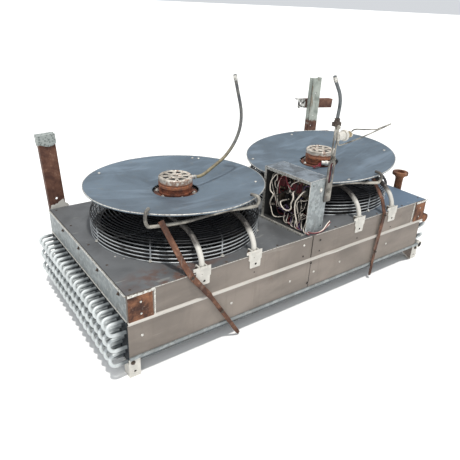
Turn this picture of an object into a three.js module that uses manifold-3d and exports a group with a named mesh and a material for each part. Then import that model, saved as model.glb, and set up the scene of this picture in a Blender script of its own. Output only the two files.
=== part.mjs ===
// Twin-fan finned-coil cooler section, standing on short feet with its fans on top.
// Millimetres. X runs along the casing to the right, Y to the rear, Z up.
// Everything is laid out from the front left bottom corner of the lower front panel, then the
// whole unit is moved so that the middle of its base is the origin.
import * as THREE from 'three';
import { mergeVertices } from 'three/addons/utils/BufferGeometryUtils.js';
import Module from 'manifold-3d';

const wasm = await Module();
wasm.setup();

// ---- driving dimensions ----------------------------------------------------------------------
const LENGTH = 1916;            // casing, left end to right end
const WIDTH = 935;              // casing, front to rear
const DECK = 297;               // top of the fan deck above the lower panel's bottom edge
const SPLIT = 158;              // height of the joint between lower and upper panels
const SEAM = 980;               // where the left and right sheets meet
const SHEET = 2;                // casing sheet
const GAP = 0.3;                // clearance between touching pieces
const FOOT_DROP = 105;          // from the lower panel's bottom edge to the ground

const TUBE_R = 8;               // coil tube
const ROWS = 6;
const COLUMNS = 20;
const ROW_PITCH = 36.8;
const COLUMN_PITCH = 46;
const FIRST_COLUMN = 12;
const TOP_ROW = 162;            // height of the highest tube row
const BEND_REACH = 84;          // return bends stand this far out of the left end

const FAN_Y = WIDTH / 2;
const FANS = [                  // each fan: place, height of the cover disc's hole, disc tilt, stay rod
  {
    name: '1', x: 482, hole: 174, tilt: [0, 0.027],
    stay: [{ angle: -135, height: 181, rim: 230.6 }, { angle: -66, height: 203, rim: 233.1 }],
  },
  {
    name: '2', x: 1459, hole: 172, tilt: [-0.097, -0.011],
    stay: [{ angle: -150, height: 160 }, { angle: -90, height: 180, rim: 215 }],
  },
];
const BELL_R = 362;
const GUARD_R = 408;
const BLADE_R = 352;
const BLADES = 6;
const HUB_R = 92;
const MOTOR_R = 79;
const DISC_R = 430;
const DISC_HOLE_R = 112;
const DISC_DISH = 48;           // rim above hole
const ARM_SPREAD = 137;         // support tubes each side of the fan's axis
const ARM_R = 12.5;
const ARM_TOP = 142;            // axis of a support tube above the deck

const BOX = { x: 943, y: 24, turn: 5.5, depth: 132, width: 298, height: 272 };

// ---- solids ----------------------------------------------------------------------------------
function solid(geometry) {
  const source = geometry.clone();
  source.deleteAttribute('normal');
  source.deleteAttribute('uv');
  const merged = mergeVertices(source, 1e-3);
  const vertices = new Float32Array(merged.attributes.position.array);
  const index = Uint32Array.from(merged.index.array);
  const corner = (i) => new THREE.Vector3().fromArray(vertices, 3 * index[i]);
  const kept = [];
  let volume = 0;
  for (let i = 0; i < index.length; i += 3) {
    if (index[i] === index[i + 1] || index[i + 1] === index[i + 2] || index[i] === index[i + 2]) continue;
    kept.push(index[i], index[i + 1], index[i + 2]);
    volume += corner(i).dot(corner(i + 1).cross(corner(i + 2)));
  }
  const triVerts = Uint32Array.from(volume > 0 ? kept : kept.reverse());
  return new wasm.Manifold(new wasm.Mesh({ numProp: 3, vertProperties: vertices, triVerts }));
}

const join = (first, ...rest) => rest.reduce((sum, piece) => sum.add(piece), first);
const cut = (first, ...rest) => rest.reduce((left, piece) => left.subtract(piece), first);

function block(x0, x1, y0, y1, z0, z1) {
  const geometry = new THREE.BoxGeometry(x1 - x0, y1 - y0, z1 - z0);
  return solid(geometry.translate((x0 + x1) / 2, (y0 + y1) / 2, (z0 + z1) / 2));
}

// A round bar standing on (x, y, z0), or lying along X or Y from that point.
function rod(radius, length, x, y, z, along = 'z', sides = 16) {
  const geometry = new THREE.CylinderGeometry(radius, radius, length, sides).translate(0, length / 2, 0);
  if (along === 'z') geometry.rotateX(Math.PI / 2);
  if (along === 'x') geometry.rotateZ(-Math.PI / 2);
  return solid(geometry.translate(x, y, z));
}

// A turned piece about the vertical axis, from [radius, height] points.
function turned(profile, segments = 30) {
  const points = profile.map(([r, z]) => new THREE.Vector2(r, z));
  return solid(new THREE.LatheGeometry(points, segments).rotateX(Math.PI / 2));
}

// A plate or bar: a flat outline in two axes, pushed along the third one.
function plate(outline, thickness, plane = 'xy') {
  const shape = new THREE.Shape(outline.map(([a, b]) => new THREE.Vector2(a, b)));
  const geometry = new THREE.ExtrudeGeometry(shape, { depth: thickness, bevelEnabled: false });
  if (plane === 'xz') geometry.rotateX(Math.PI / 2).translate(0, thickness, 0);
  if (plane === 'yz') geometry.rotateX(Math.PI / 2).rotateZ(Math.PI / 2);
  return solid(geometry);
}

const ngon = (sides, r) => Array.from({ length: sides }, (_, i) => {
  const angle = (2 * Math.PI * (i + 0.5)) / sides;
  return new THREE.Vector2(r * Math.cos(angle), r * Math.sin(angle));
});

function tube(points, radius, steps, sides = 8) {
  const path = new THREE.CatmullRomCurve3(points.map((p) => new THREE.Vector3(...p)), false, 'centripetal');
  const shape = new THREE.Shape(ngon(sides, radius));
  return solid(new THREE.ExtrudeGeometry(shape, { steps, extrudePath: path, bevelEnabled: false }));
}

// A flat bar from a to b; normal is the way its wide face looks.
function bar(a, b, width, thickness, normal) {
  const start = new THREE.Vector3(...a);
  const along = new THREE.Vector3(...b).sub(start);
  const length = along.length();
  along.normalize();
  const across = new THREE.Vector3().crossVectors(along, new THREE.Vector3(...normal)).normalize();
  const up = new THREE.Vector3().crossVectors(across, along);
  const basis = new THREE.Matrix4().makeBasis(along, across, up).setPosition(start);
  return solid(new THREE.BoxGeometry(length, width, thickness).translate(length / 2, 0, 0).applyMatrix4(basis));
}

// ---- scene graph -----------------------------------------------------------------------------
const FINISHES = {
  steel: ['#8a8178', 0.45, 0.8],
  deck: ['#6d7680', 0.4, 0.8],
  galvanised: ['#b9bdb9', 0.5, 0.7],
  white: ['#e4e2da', 0.6, 0.1],
  coil: ['#cfdde0', 0.5, 0.3],
  fins: ['#6f767c', 0.6, 0.7],
  rust: ['#6d4634', 0.9, 0.2],
  black: ['#1c1d20', 0.5, 0.3],
  cover: ['#62788f', 0.4, 0.7],
  cast: ['#9a9489', 0.6, 0.6],
  motor: ['#7c4a38', 0.85, 0.2],
  gear: ['#2c2b2b', 0.6, 0.0],
  cable: ['#7e8489', 0.6, 0.0],
};

function piece(name, manifold, finish) {
  const { vertProperties, triVerts } = manifold.getMesh();
  const geometry = new THREE.BufferGeometry();
  geometry.setAttribute('position', new THREE.BufferAttribute(new Float32Array(vertProperties), 3));
  geometry.setIndex(new THREE.BufferAttribute(new Uint32Array(triVerts), 1));
  geometry.computeVertexNormals();
  const [color, roughness, metalness] = FINISHES[finish];
  const mesh = new THREE.Mesh(geometry, new THREE.MeshStandardMaterial({ color, roughness, metalness }));
  mesh.name = name;
  return mesh;
}

const unit = new THREE.Group();
const add = (...meshes) => unit.add(...meshes);

// ---- casing ----------------------------------------------------------------------------------
function deckHalf(fan, x0, x1) {
  const sheet = block(x0, x1, SHEET + GAP, WIDTH - SHEET - GAP, DECK - SHEET, DECK);
  return cut(sheet, rod(BELL_R + 10, 3 * SHEET, fan.x, FAN_Y, DECK - 2 * SHEET, 'z', 40));
}

// The upper front sheet ends below in a folded lip that stands out over the lower sheet.
function upperFront(x0, x1) {
  const lip = 8;
  const outline = [[0, DECK], [SHEET, DECK], [SHEET, SPLIT], [-lip, SPLIT], [-lip, SPLIT + 12], [0, SPLIT + 12]];
  const sheet = plate(outline, x1 - x0, 'yz');
  return sheet.translate([x0, 0, 0]);
}

function casing() {
  const inner = SHEET + GAP;
  add(
    piece('deck_left', deckHalf(FANS[0], inner, SEAM - GAP), 'deck'),
    piece('deck_right', deckHalf(FANS[1], SEAM + GAP, LENGTH - inner), 'deck'),
    piece('front_upper_left', upperFront(0, SEAM - GAP), 'steel'),
    piece('front_upper_right', upperFront(SEAM + GAP, LENGTH), 'steel'),
    piece('front_lower_left', block(0, SEAM + 6 - GAP, 0, SHEET, 0, SPLIT - GAP), 'steel'),
    piece('front_lower_right', block(SEAM + 6 + GAP, LENGTH - 12, 0, SHEET, 0, SPLIT - GAP), 'steel'),
    piece('rear_upper', block(0, LENGTH, WIDTH - SHEET, WIDTH, SPLIT, DECK), 'steel'),
    piece('rear_lower', block(0, LENGTH - 12, WIDTH - SHEET, WIDTH, 0, SPLIT - GAP), 'steel'),
  );
  const endBottom = TOP_ROW + TUBE_R + 4;
  const endSheet = (x) => block(x, x + SHEET, inner, WIDTH - inner, endBottom, DECK);
  add(
    piece('end_upper_left', endSheet(0), 'galvanised'),
    piece('end_upper_right', endSheet(LENGTH - SHEET), 'galvanised'),
  );
}

function rails() {
  const under = -GAP;
  const rail = (y) => block(0, LENGTH + 20, y, y + 9, -14, under);
  add(piece('bottom_rail_front', rail(-6), 'white'), piece('bottom_rail_rear', rail(WIDTH - 3), 'white'));
}

// An angle-iron foot; the right ones carry a triangular gusset.
function foot(x, y, outward, withGusset) {
  const size = 50;
  const wall = 3.5;
  const top = -14 - GAP;
  const low = -FOOT_DROP;
  const atRear = y > FAN_Y;
  const face = atRear ? [WIDTH - wall, WIDTH] : [0, wall];
  const body = join(
    block(x, x + size, ...face, low, top),
    block(...(outward < 0 ? [x, x + wall] : [x + size - wall, x + size]),
      ...(atRear ? [WIDTH - size, WIDTH] : [0, size]), low, -36),
    block(x, x + size, ...(atRear ? [WIDTH - size, WIDTH] : [0, size]), low, low + wall),
  );
  const bolted = cut(body, rod(6, 4 * wall, x + 26, face[0] - wall, -78, 'y', 12));
  if (!withGusset) return bolted;
  const gusset = plate([[x - 115, top], [x + 2, top], [x + 2, low + wall], [x - 8, low + wall]], wall, 'xz');
  return join(bolted, gusset.translate([0, face[0], 0]));
}

function feet() {
  add(
    piece('foot_front_left', foot(-4, 0, -1, false), 'galvanised'),
    piece('foot_front_right', foot(LENGTH - 20, 0, 1, true), 'white'),
    piece('foot_rear_left', foot(-4, WIDTH, -1, false), 'galvanised'),
    piece('foot_rear_right', foot(LENGTH - 20, WIDTH, 1, true), 'white'),
  );
}

// Patches on the front corners where front posts were once bolted.
function cornerPatch(x0, x1) {
  const low = SPLIT + 12 + GAP;
  const sheet = block(x0, x1, -3 - GAP, -GAP, low, DECK - 4);
  const middle = (x0 + x1) / 2;
  const holes = [196, 251].map((z) => rod(7, 12, middle, -8, z, 'y', 12));
  return cut(sheet, ...holes);
}

// ---- coil ------------------------------------------------------------------------------------
const rowHeight = (row) => TOP_ROW - ROW_PITCH * row;
const columnPlace = (row, column) => FIRST_COLUMN + (row % 2 ? 0 : COLUMN_PITCH / 2) + COLUMN_PITCH * column;

// One U bend between two rows of the same column; side is -1 for the left end.
function returnBend(row, column, root, side, steps, sides) {
  const a = [columnPlace(row, column), rowHeight(row)];
  const b = [columnPlace(row + 1, column), rowHeight(row + 1)];
  const radius = Math.hypot(a[0] - b[0], a[1] - b[1]) / 2;
  const middle = [(a[0] + b[0]) / 2, (a[1] + b[1]) / 2];
  const straight = BEND_REACH - TUBE_R - radius;
  const point = (angle) => [
    root + side * (straight + radius * Math.sin(angle)),
    middle[0] + (a[0] - middle[0]) * Math.cos(angle),
    middle[1] + (a[1] - middle[1]) * Math.cos(angle),
  ];
  const path = [[root, ...a], ...[0, 0.25, 0.5, 0.75, 1].map((t) => point(t * Math.PI)), [root, ...b]];
  return tube(path, TUBE_R, steps, sides);
}

function coilEnd(side, firstRow, steps) {
  const root = side < 0 ? 4 : LENGTH - 4;
  let end = block(root - 2, root + 2, 6, WIDTH - 6, -34, TOP_ROW + 12);
  for (let row = firstRow; row + 1 < ROWS; row += 2) {
    for (let column = 0; column < COLUMNS; column += 1) {
      end = end.add(returnBend(row, column, root, side, steps, 4));
    }
  }
  return end;
}

// A header pipe along the right end, with one feeder tube into each column of its row.
function header(row, x, radius) {
  const z = rowHeight(row);
  const root = LENGTH - 2 + GAP;
  let pipe = rod(radius, WIDTH - 12, x, 4, z, 'y', 12);
  for (let column = 0; column < COLUMNS; column += 1) {
    pipe = pipe.add(rod(TUBE_R, x - root, root, columnPlace(row, column), z, 'x', 4));
  }
  return pipe;
}

function flangedRiser(x, y, z0, z1) {
  return join(
    rod(24, z1 - z0, x, y, z0, 'z', 14),
    rod(48, 18, x, y, z1 - 18, 'z', 24),
    rod(31, 12, x, y, z1 - 30, 'z', 14),
  );
}

function coil() {
  const headerX = LENGTH + 50;
  const inlet = join(header(0, headerX, 26), flangedRiser(headerX, 238, TOP_ROW, DECK + 92));
  add(
    piece('tube_sheet_left', coilEnd(-1, 0, 6), 'coil'),
    piece('tube_sheet_right', coilEnd(1, 1, 4), 'coil'),
    piece('fin_pack', block(6 + GAP, LENGTH - 6 - GAP, 6, WIDTH - 6, -34, TOP_ROW + 12), 'fins'),
    piece('header_inlet', inlet, 'rust'),
    piece('header_outlet', header(ROWS - 1, headerX + 6, 21), 'galvanised'),
  );
}

// ---- fans ------------------------------------------------------------------------------------
function bellMouth() {
  const wall = 2.5;
  const flange = BELL_R + 32;
  return turned([
    [BELL_R, -45], [BELL_R + wall, -45], [BELL_R + wall, GAP], [flange, GAP], [flange, GAP + wall],
    [BELL_R + wall, GAP + wall], [BELL_R + wall, 30], [BELL_R, 30], [BELL_R, -45],
  ], 26);
}

const GUARD_RINGS = [[GUARD_R, 3.5], [GUARD_R, 42], [GUARD_R, 78], [392, 105], [300, 111], [150, 111]];

function guard() {
  const wire = 3;
  const ringSegments = 16;
  const loops = GUARD_RINGS.map(([r, z]) => turned([
    [r - wire, z - wire], [r + wire, z - wire], [r + wire, z + wire], [r - wire, z + wire], [r - wire, z - wire],
  ], ringSegments));
  const ribs = Array.from({ length: 8 }, (_, i) => {
    const path = [[GUARD_R, 0, 3.5], [GUARD_R, 0, 78], [392, 0, 105], [360, 0, 111], [150, 0, 111]];
    return tube(path, 4, 6, 4).rotate([0, 0, 45 * i]);
  });
  return join(...loops, ...ribs);
}

// Hub, shaft and pitched blades; this is the piece that spins.
function rotor() {
  const root = HUB_R - 12;
  const spread = Math.PI / 9;
  const rim = (r, from, to, n) => Array.from({ length: n + 1 }, (_, i) => {
    const angle = from + ((to - from) * i) / n;
    return [r * Math.cos(angle), r * Math.sin(angle)];
  });
  const outline = [...rim(BLADE_R, -spread, spread * 1.15, 6), ...rim(root, spread * 1.9, -spread * 1.9, 3)];
  const blade = plate(outline, 3).rotate([28, 0, 0]);
  const blades = Array.from({ length: BLADES }, (_, i) => blade.rotate([0, 0, (360 / BLADES) * i]));
  const hub = turned([[0, -28], [HUB_R - 6, -28], [HUB_R, -20], [HUB_R, 34], [0, 34]], 24);
  return join(hub, rod(12, 70, 0, 0, 30, 'z', 12), ...blades);
}

function motorBody() {
  const body = turned([
    [0, 46], [40, 46], [MOTOR_R - 8, 52], [MOTOR_R, 62], [MOTOR_R, 159 + GAP], [104, 159 + GAP], [104, 165],
    [MOTOR_R, 165], [MOTOR_R, 200], [0, 200],
  ], 26);
  return cut(body, rod(13.5, 62, 0, 0, 40, 'z', 12));
}

function motorCap() {
  const outer = MOTOR_R + 3;
  const body = turned([[0, 200 + GAP], [outer, 200 + GAP], [outer, 238], [outer - 8, 250], [0, 250]], 28);
  const slots = Array.from({ length: 8 }, (_, i) => block(34, 66, -5, 5, 244, 256).rotate([0, 0, 45 * i]));
  const gland = rod(11, 26, outer - 4, 0, 232, 'x', 10).rotate([0, 0, -14]);
  return cut(join(body, gland), rod(14, 20, 0, 0, 238, 'z', 12), ...slots);
}

function cradle() {
  const top = ARM_TOP + ARM_R + GAP;
  const reach = ARM_SPREAD + 22;
  const sheet = block(-reach, reach, -100, 100, top, top + 4);
  return cut(sheet, rod(MOTOR_R + 1, 20, 0, 0, top - 8, 'z', 28));
}

// A dished cover disc; heights are from the edge of its centre hole.
function coverDisc() {
  const r = DISC_R;
  return turned([
    [DISC_HOLE_R, 0], [r - 4, DISC_DISH], [r - 4, DISC_DISH - 5], [r, DISC_DISH - 5], [r, DISC_DISH + 2.5],
    [DISC_HOLE_R, 2.3], [DISC_HOLE_R, 0],
  ]);
}

// A bent support tube over the guard, front to rear, with two studs that hold the cover disc.
function supportArm(studTop) {
  const half = WIDTH / 2;
  const rise = [[13, 4], [16, 40], [34, 76], [62, 104], [100, 127], [150, 139.5], [215, ARM_TOP], [340, ARM_TOP]];
  const front = rise.map(([y, z]) => [0, y - half, z]);
  const rear = rise.map(([y, z]) => [0, half - y, z]).reverse();
  const studs = [-150, 150].map((y) => rod(8, studTop - ARM_TOP, 0, y, ARM_TOP, 'z', 8));
  const rearShoe = cut(block(-34, 34, half + GAP, half + 4, -62, 24), rod(6, 12, 0, half - 2, -48, 'y', 10));
  const strap = block(-16, 16, half - 24, half + 3, 12, 20);
  return join(tube([...front, ...rear], ARM_R, 18, 6), ...studs, rearShoe, strap);
}

// The front bracket that clamps a support tube to the casing's top edge.
function armClip() {
  const face = cut(block(-36, 36, -3 - GAP, -GAP, -65, 22), rod(6, 12, 4, -8, -48, 'y', 10));
  const cheeks = [[-20, -14], [14, 20]].map(([a, b]) => block(a, b, -2, 30, GAP, 22));
  const ear = block(-50, -34, -3 - GAP, -GAP, 6, 22);
  return join(face, ...cheeks, ear);
}

// A bent rod under the cover disc. Each end is given by its angle round the fan, the rod's height
// there, and the height of the rim it hooks over; an end without a rim is left straight.
function discStay(ends) {
  const reach = DISC_R + 20;
  const feet = ends.map(({ angle }) => {
    const turn = THREE.MathUtils.degToRad(angle);
    return new THREE.Vector3(reach * Math.cos(turn), reach * Math.sin(turn), 0);
  });
  const path = [];
  ends.forEach(({ height, rim }, i) => {
    const along = feet[1 - i].clone().sub(feet[i]).normalize();
    const inward = feet[i].clone().normalize().negate();
    const at = (a, b, z) => feet[i].clone().addScaledVector(along, a).addScaledVector(inward, b).setZ(z).toArray();
    const half = [at(28, 0, height), at(168, 0, height)];
    if (rim) {
      half.unshift(at(0, 42, rim + 15), at(0, 10, rim + 13), at(0, 0, rim - 2), at(7, 0, height + 8));
      if (rim - height > 40) half.splice(3, 0, at(0, 0, height + 28));
    }
    path.push(...(i ? half.reverse() : half));
  });
  return tube(path, 8, 26, 5);
}

function fanSet(fan) {
  const group = new THREE.Group();
  group.position.set(fan.x, FAN_Y, DECK);
  const n = fan.name;
  group.add(
    piece(`bell_mouth_${n}`, bellMouth(), 'galvanised'),
    piece(`guard_${n}`, guard(), 'black'),
    piece(`fan_rotor_${n}`, rotor(), 'black'),
    piece(`motor_${n}`, motorBody(), 'motor'),
    piece(`motor_cap_${n}`, motorCap(), 'cast'),
    piece(`motor_cradle_${n}`, cradle(), 'black'),
    piece(`disc_stay_${n}`, discStay(fan.stay), 'galvanised'),
  );
  const disc = piece(`cover_disc_${n}`, coverDisc(), 'cover');
  disc.position.z = fan.hole;
  const normal = new THREE.Vector3(fan.tilt[0], fan.tilt[1], 1).normalize();
  disc.quaternion.setFromUnitVectors(new THREE.Vector3(0, 0, 1), normal);
  group.add(disc);
  for (const [side, sign] of [['left', -1], ['right', 1]]) {
    const slope = -fan.tilt[0] * sign * ARM_SPREAD;
    const studTop = fan.hole + 9 + slope - 5;
    const arm = piece(`support_arm_${n}_${side}`, supportArm(Math.max(studTop, ARM_TOP + ARM_R + 2)), 'white');
    const clip = piece(`arm_clip_${n}_${side}`, armClip(), 'white');
    arm.position.x = sign * ARM_SPREAD;
    clip.position.set(sign * ARM_SPREAD, -FAN_Y, 0);
    group.add(arm, clip);
  }
  add(group);
}

// ---- posts -----------------------------------------------------------------------------------
// A channel against the rear panel with its flanges to the rear; x is its left side.
function post(low, high) {
  const wall = 6;
  const width = 80;
  const deep = 35;
  return join(
    block(0, width, 0, wall, low, high),
    block(0, wall, 0, deep, low, high),
    block(width - wall, width, 0, deep, low, high),
  );
}

function posts() {
  const y = WIDTH + GAP;
  const lean = -2.6;
  const leftPost = new THREE.Group();
  leftPost.position.set(11, y, DECK - 70);
  leftPost.rotation.y = THREE.MathUtils.degToRad(lean);
  const top = 452;
  leftPost.add(piece('post_rear_left', post(0, top), 'rust'));
  const sleeve = cut(block(-4, 84, -4, 40, top - 60, top + 3), block(-1, 81, -1, 37, top - 80, top + GAP));
  leftPost.add(piece('post_cap_left', sleeve, 'galvanised'));
  add(leftPost);

  const droop = (solidBar, angle, z) => solidBar.rotate([0, angle, 0]).translate([1735, y, z]);
  const rightPost = join(
    post(DECK - 127, 862).translate([1816, y, 0]),
    droop(block(0, 338, 30, 52, -6, 0), 5, 500),
  );
  const arm = droop(join(
    block(0, 337, 35 + GAP, 41, -62, 0),
    block(0, 337, 35 + GAP, 78, -6, 0),
  ), 3.5, 722);
  add(piece('post_rear_right', rightPost, 'rust'), piece('cross_arm', arm, 'rust'));
}

// ---- loose steel straps ----------------------------------------------------------------------
function frontStrap(a, b, c, d, tip) {
  const width = 26;
  const thick = 6;
  const towardFront = [0, -1, 0];
  return join(
    bar(a, b, width, thick, [0, -1, 1]),
    bar(b, c, width, thick, [0, -1, 0.6]),
    bar(c, d, width, thick, towardFront),
    bar(d, tip, width * 0.72, thick - 1.5, towardFront),
  );
}

function straps() {
  const y = -13;
  const first = frontStrap([215, 118, DECK + 211], [268, 20, DECK + 34], [281, y, DECK - 2],
    [372, y, 174], [540, y, -94]);
  const second = frontStrap([1540, 160, DECK + 198], [1516, 24, DECK + 72], [1508, y, DECK],
    [1486, y, 96], [1482, y, -82]);
  add(piece('rusty_strap_left', first, 'rust'), piece('rusty_strap_right', second, 'rust'));
}

// ---- electrical box --------------------------------------------------------------------------
function boxShell() {
  const { depth, width, height } = BOX;
  const hollow = block(-1, depth - SHEET, SHEET, width - SHEET, SHEET, height - SHEET);
  const tray = join(block(-22, 1, 0, width, 0, SHEET), block(-22, -20, 0, width, 0, 9));
  return join(cut(block(0, depth, 0, width, 0, height), hollow), tray);
}

function gearPlate() {
  const back = BOX.depth - SHEET - GAP;
  return join(
    block(back - 3, back, 12, BOX.width - 12, 14, BOX.height - 14),
    block(back - 42, back - 2, 26, 272, 34, 62),
    block(back - 12, back - 2, 20, 278, 182, 217),
  );
}

function contactors() {
  const back = BOX.depth - SHEET - 12 - 2 * GAP;
  const bodies = [[30, 84, 70], [90, 144, 70], [150, 186, 52], [192, 256, 60]];
  const blocks = bodies.map(([y0, y1, depth]) => join(
    block(back - depth, back, y0, y1, 158, 242),
    block(back - depth - 14, back - depth + 1, y0 + 8, y1 - 8, 178, 222),
  ));
  return join(block(back - 8, back, 26, 270, 190, 210), ...blocks);
}

function electricalBox() {
  const group = new THREE.Group();
  group.position.set(BOX.x, BOX.y, DECK + GAP);
  group.rotation.z = THREE.MathUtils.degToRad(BOX.turn);
  group.add(
    piece('control_box', boxShell(), 'galvanised'),
    piece('gear_plate', gearPlate(), 'galvanised'),
    piece('contactor_row', contactors(), 'gear'),
  );
  add(group);
}

// A slotted hanger strap on the box's corner, with the conduit's clamp at its top.
function hangerStrap() {
  const y = 27;
  const slot = (x0, x1, z0, z1) => block(x0, x1, y - 4, y + 8, z0, z1);
  const lower = block(1050, 1094, y, y + 4, DECK + 150, DECK + 362);
  const upper = block(1063, 1091, y, y + 4, DECK + 358, DECK + 532);
  const clamp = join(block(1060, 1096, y, y + 26, DECK + 516, DECK + 534), rod(14, 18, 1080, y + 14, DECK + 533));
  return cut(join(lower, upper, clamp), slot(1063, 1081, DECK + 244, DECK + 346),
    slot(1071, 1083, DECK + 388, DECK + 492));
}

// A round fitting with a thin rod bent into a narrow V.
function sensorRod() {
  const y = 42;
  const body = join(
    rod(20, 40, 1098, y, 762, 'x', 14),
    rod(27, 14, 1136, y, 762, 'x', 14),
    rod(14, 46, 1148, y, 762, 'x', 12),
  );
  const lug = block(1094, 1102, 34, 52, 742, 782);
  const spoke = tube([[1186, y, 770], [1215, y, 782], [1290, y, 773], [1399, y, 764], [1490, y, 781]], 3.5, 7, 4);
  const back = tube([[1110, y, 746], [1122, y, 718], [1244, y, 732], [1380, y, 757], [1490, y, 781]], 3.5, 7, 4);
  const blade = bar([1392, y, 763], [1490, y, 781], 12, 3, [0, -1, 0]);
  return join(body, lug, spoke, back, blade);
}

// ---- supply cables ---------------------------------------------------------------------------
const CABLE_R = 8;
// From the left motor's gland; points are from the fan's axis and the deck.
const MOTOR_CABLE = [
  [101.3, -25.3, 232], [112, -28, 232], [128, -30, 235], [152, -31, 245], [190, -31, 267], [230, -30, 289],
  [262, -29, 309], [290, -28, 335], [314, -28, 364], [334, -27, 397], [349, -27, 436], [356, -27, 480],
  [354, -27, 525], [346, -27, 562], [334, -27, 602], [322, -27, 642], [312, -27, 676], [306, -27, 700],
];
// From the hanger strap's clamp; points are from the clamp's top.
const BOX_CONDUIT = [
  [0, 0, 0.4], [0, 0, 10], [1, 0, 24], [4, 1, 44], [5, 2, 68], [1, 3, 92], [-8, 4, 115], [-22, 5, 138], [-36, 6, 160],
  [-48, 7, 184],
];

function cables() {
  const fan = FANS[0];
  const first = MOTOR_CABLE.map(([x, y, z]) => [fan.x + x, FAN_Y + y, DECK + z]);
  const second = BOX_CONDUIT.map(([x, y, z]) => [1080 + x, 41 + y, DECK + 551 + z]);
  add(
    piece('motor_cable', tube(first, CABLE_R, 24), 'cable'),
    piece('box_conduit', tube(second, CABLE_R, 10), 'cable'),
  );
}

// ---- the whole unit --------------------------------------------------------------------------
casing();
rails();
feet();
add(
  piece('corner_patch_left', cornerPatch(5, 113), 'rust'),
  piece('corner_patch_right', cornerPatch(LENGTH - 92, LENGTH + 4), 'rust'),
);
coil();
FANS.forEach(fanSet);
posts();
straps();
electricalBox();
add(piece('hanger_strap', hangerStrap(), 'galvanised'), piece('sensor_rod', sensorRod(), 'galvanised'));

unit.updateMatrixWorld(true);
const bounds = new THREE.Box3().setFromObject(unit);
const middle = bounds.getCenter(new THREE.Vector3());
cables();
unit.position.set(-middle.x, -middle.y, -bounds.min.z);

const assembly = new THREE.Group();
assembly.add(unit);
export default assembly;
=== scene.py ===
import math
import random

import bmesh
import bpy
from mathutils import Matrix, Vector, geometry, noise


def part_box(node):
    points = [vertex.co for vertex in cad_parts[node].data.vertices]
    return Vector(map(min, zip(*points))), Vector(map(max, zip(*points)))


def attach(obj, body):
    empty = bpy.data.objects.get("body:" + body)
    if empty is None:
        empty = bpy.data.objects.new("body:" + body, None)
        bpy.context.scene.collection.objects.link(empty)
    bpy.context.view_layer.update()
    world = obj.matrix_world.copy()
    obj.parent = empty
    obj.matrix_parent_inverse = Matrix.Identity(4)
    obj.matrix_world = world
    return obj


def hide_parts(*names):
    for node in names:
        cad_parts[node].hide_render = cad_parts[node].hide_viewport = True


bl_info = {
    "name": "Twin-fan cooler section",
    "version": (1, 0, 0),
    "blender": (4, 5, 0),
    "location": "View3D > Sidebar > Cooler",
    "description": "Builds the visible pieces of a weathered twin-fan air cooler section",
    "category": "Object",
}

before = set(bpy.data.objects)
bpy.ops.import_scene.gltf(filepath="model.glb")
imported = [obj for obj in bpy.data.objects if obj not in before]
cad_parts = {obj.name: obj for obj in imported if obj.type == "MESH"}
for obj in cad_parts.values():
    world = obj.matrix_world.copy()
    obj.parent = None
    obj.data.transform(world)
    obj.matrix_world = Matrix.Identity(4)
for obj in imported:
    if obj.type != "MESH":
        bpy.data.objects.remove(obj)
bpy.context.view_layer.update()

# The casing's front left bottom corner, in metres; the pieces are drawn in millimetres from it.
CORNER = Vector(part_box("deck_left")[0]) - Vector((2.3, 2.3, 295.0)) / 1000

LENGTH, WIDTH, DECK, SPLIT = 1916.0, 935.0, 297.0, 158.0
SEAM = 980.0
FAN_Y = WIDTH / 2
TOP_ROW, ROW_PITCH, COLUMN_PITCH, FIRST_COLUMN = 162.0, 36.8, 46.0, 12.0
FANS = {
    "1": {"x": 482.0, "hole": 174.0, "tilt": (0.0, 0.027), "stay": ((-135, 181, 230.6), (-66, 203, 233.1))},
    "2": {"x": 1459.0, "hole": 172.0, "tilt": (-0.097, -0.011),
          "stay": ((-150, 160, None), (-90, 180, 215.0))},
}
BELL_R, GUARD_R, BLADE_R, HUB_R, MOTOR_R = 362.0, 408.0, 352.0, 92.0, 79.0
GUARD_RIBS = 8
DISC_R, DISC_HOLE_R, DISC_DISH = 430.0, 112.0, 48.0
ARM_SPREAD, ARM_TOP, ARM_R = 137.0, 142.0, 12.5
COLUMNS, BEND_REACH = 20, 84.0
POST_WIDTH, LEFT_POST_TOP, RIGHT_POST_X, CROSS_ARM_X = 80, 452, 1816, 1735
BOX_DEPTH, BOX_WIDTH, BOX_HEIGHT = 132, 298, 272
BOX = Matrix.Translation((943, 24, DECK + 0.3)) @ Matrix.Rotation(math.radians(5.5), 4, "Z")

# The cords' routes: the cable's from its fan's middle on the deck, the conduit's from the hanger's clamp.
CORD_R = 8.0
CONDUIT_START = (1080, 41, DECK + 551)
MOTOR_CABLE = [
    (101.3, -25.3, 232), (112, -28, 232), (128, -30, 235), (152, -31, 245), (190, -31, 267), (230, -30, 289),
    (262, -29, 309), (290, -28, 335), (314, -28, 364), (334, -27, 397), (349, -27, 436), (356, -27, 480),
    (354, -27, 525), (346, -27, 562), (334, -27, 602), (322, -27, 642), (312, -27, 676), (306, -27, 700),
]
BOX_CONDUIT = [
    (0, 0, 0.4), (0, 0, 10), (1, 0, 24), (4, 1, 44), (5, 2, 68), (1, 3, 92), (-8, 4, 115), (-22, 5, 138),
    (-36, 6, 160), (-48, 7, 184),
]


def metres(point):
    """A point in millimetres from the casing's corner, as metres in the part's frame."""
    return CORNER + Vector(point) / 1000


def tone(code):
    """A linear colour from its usual hex code."""
    values = [int(code[i:i + 2], 16) / 255 for i in (1, 3, 5)]
    return tuple(v / 12.92 if v <= 0.04045 else ((v + 0.055) / 1.055) ** 2.4 for v in values)


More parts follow.
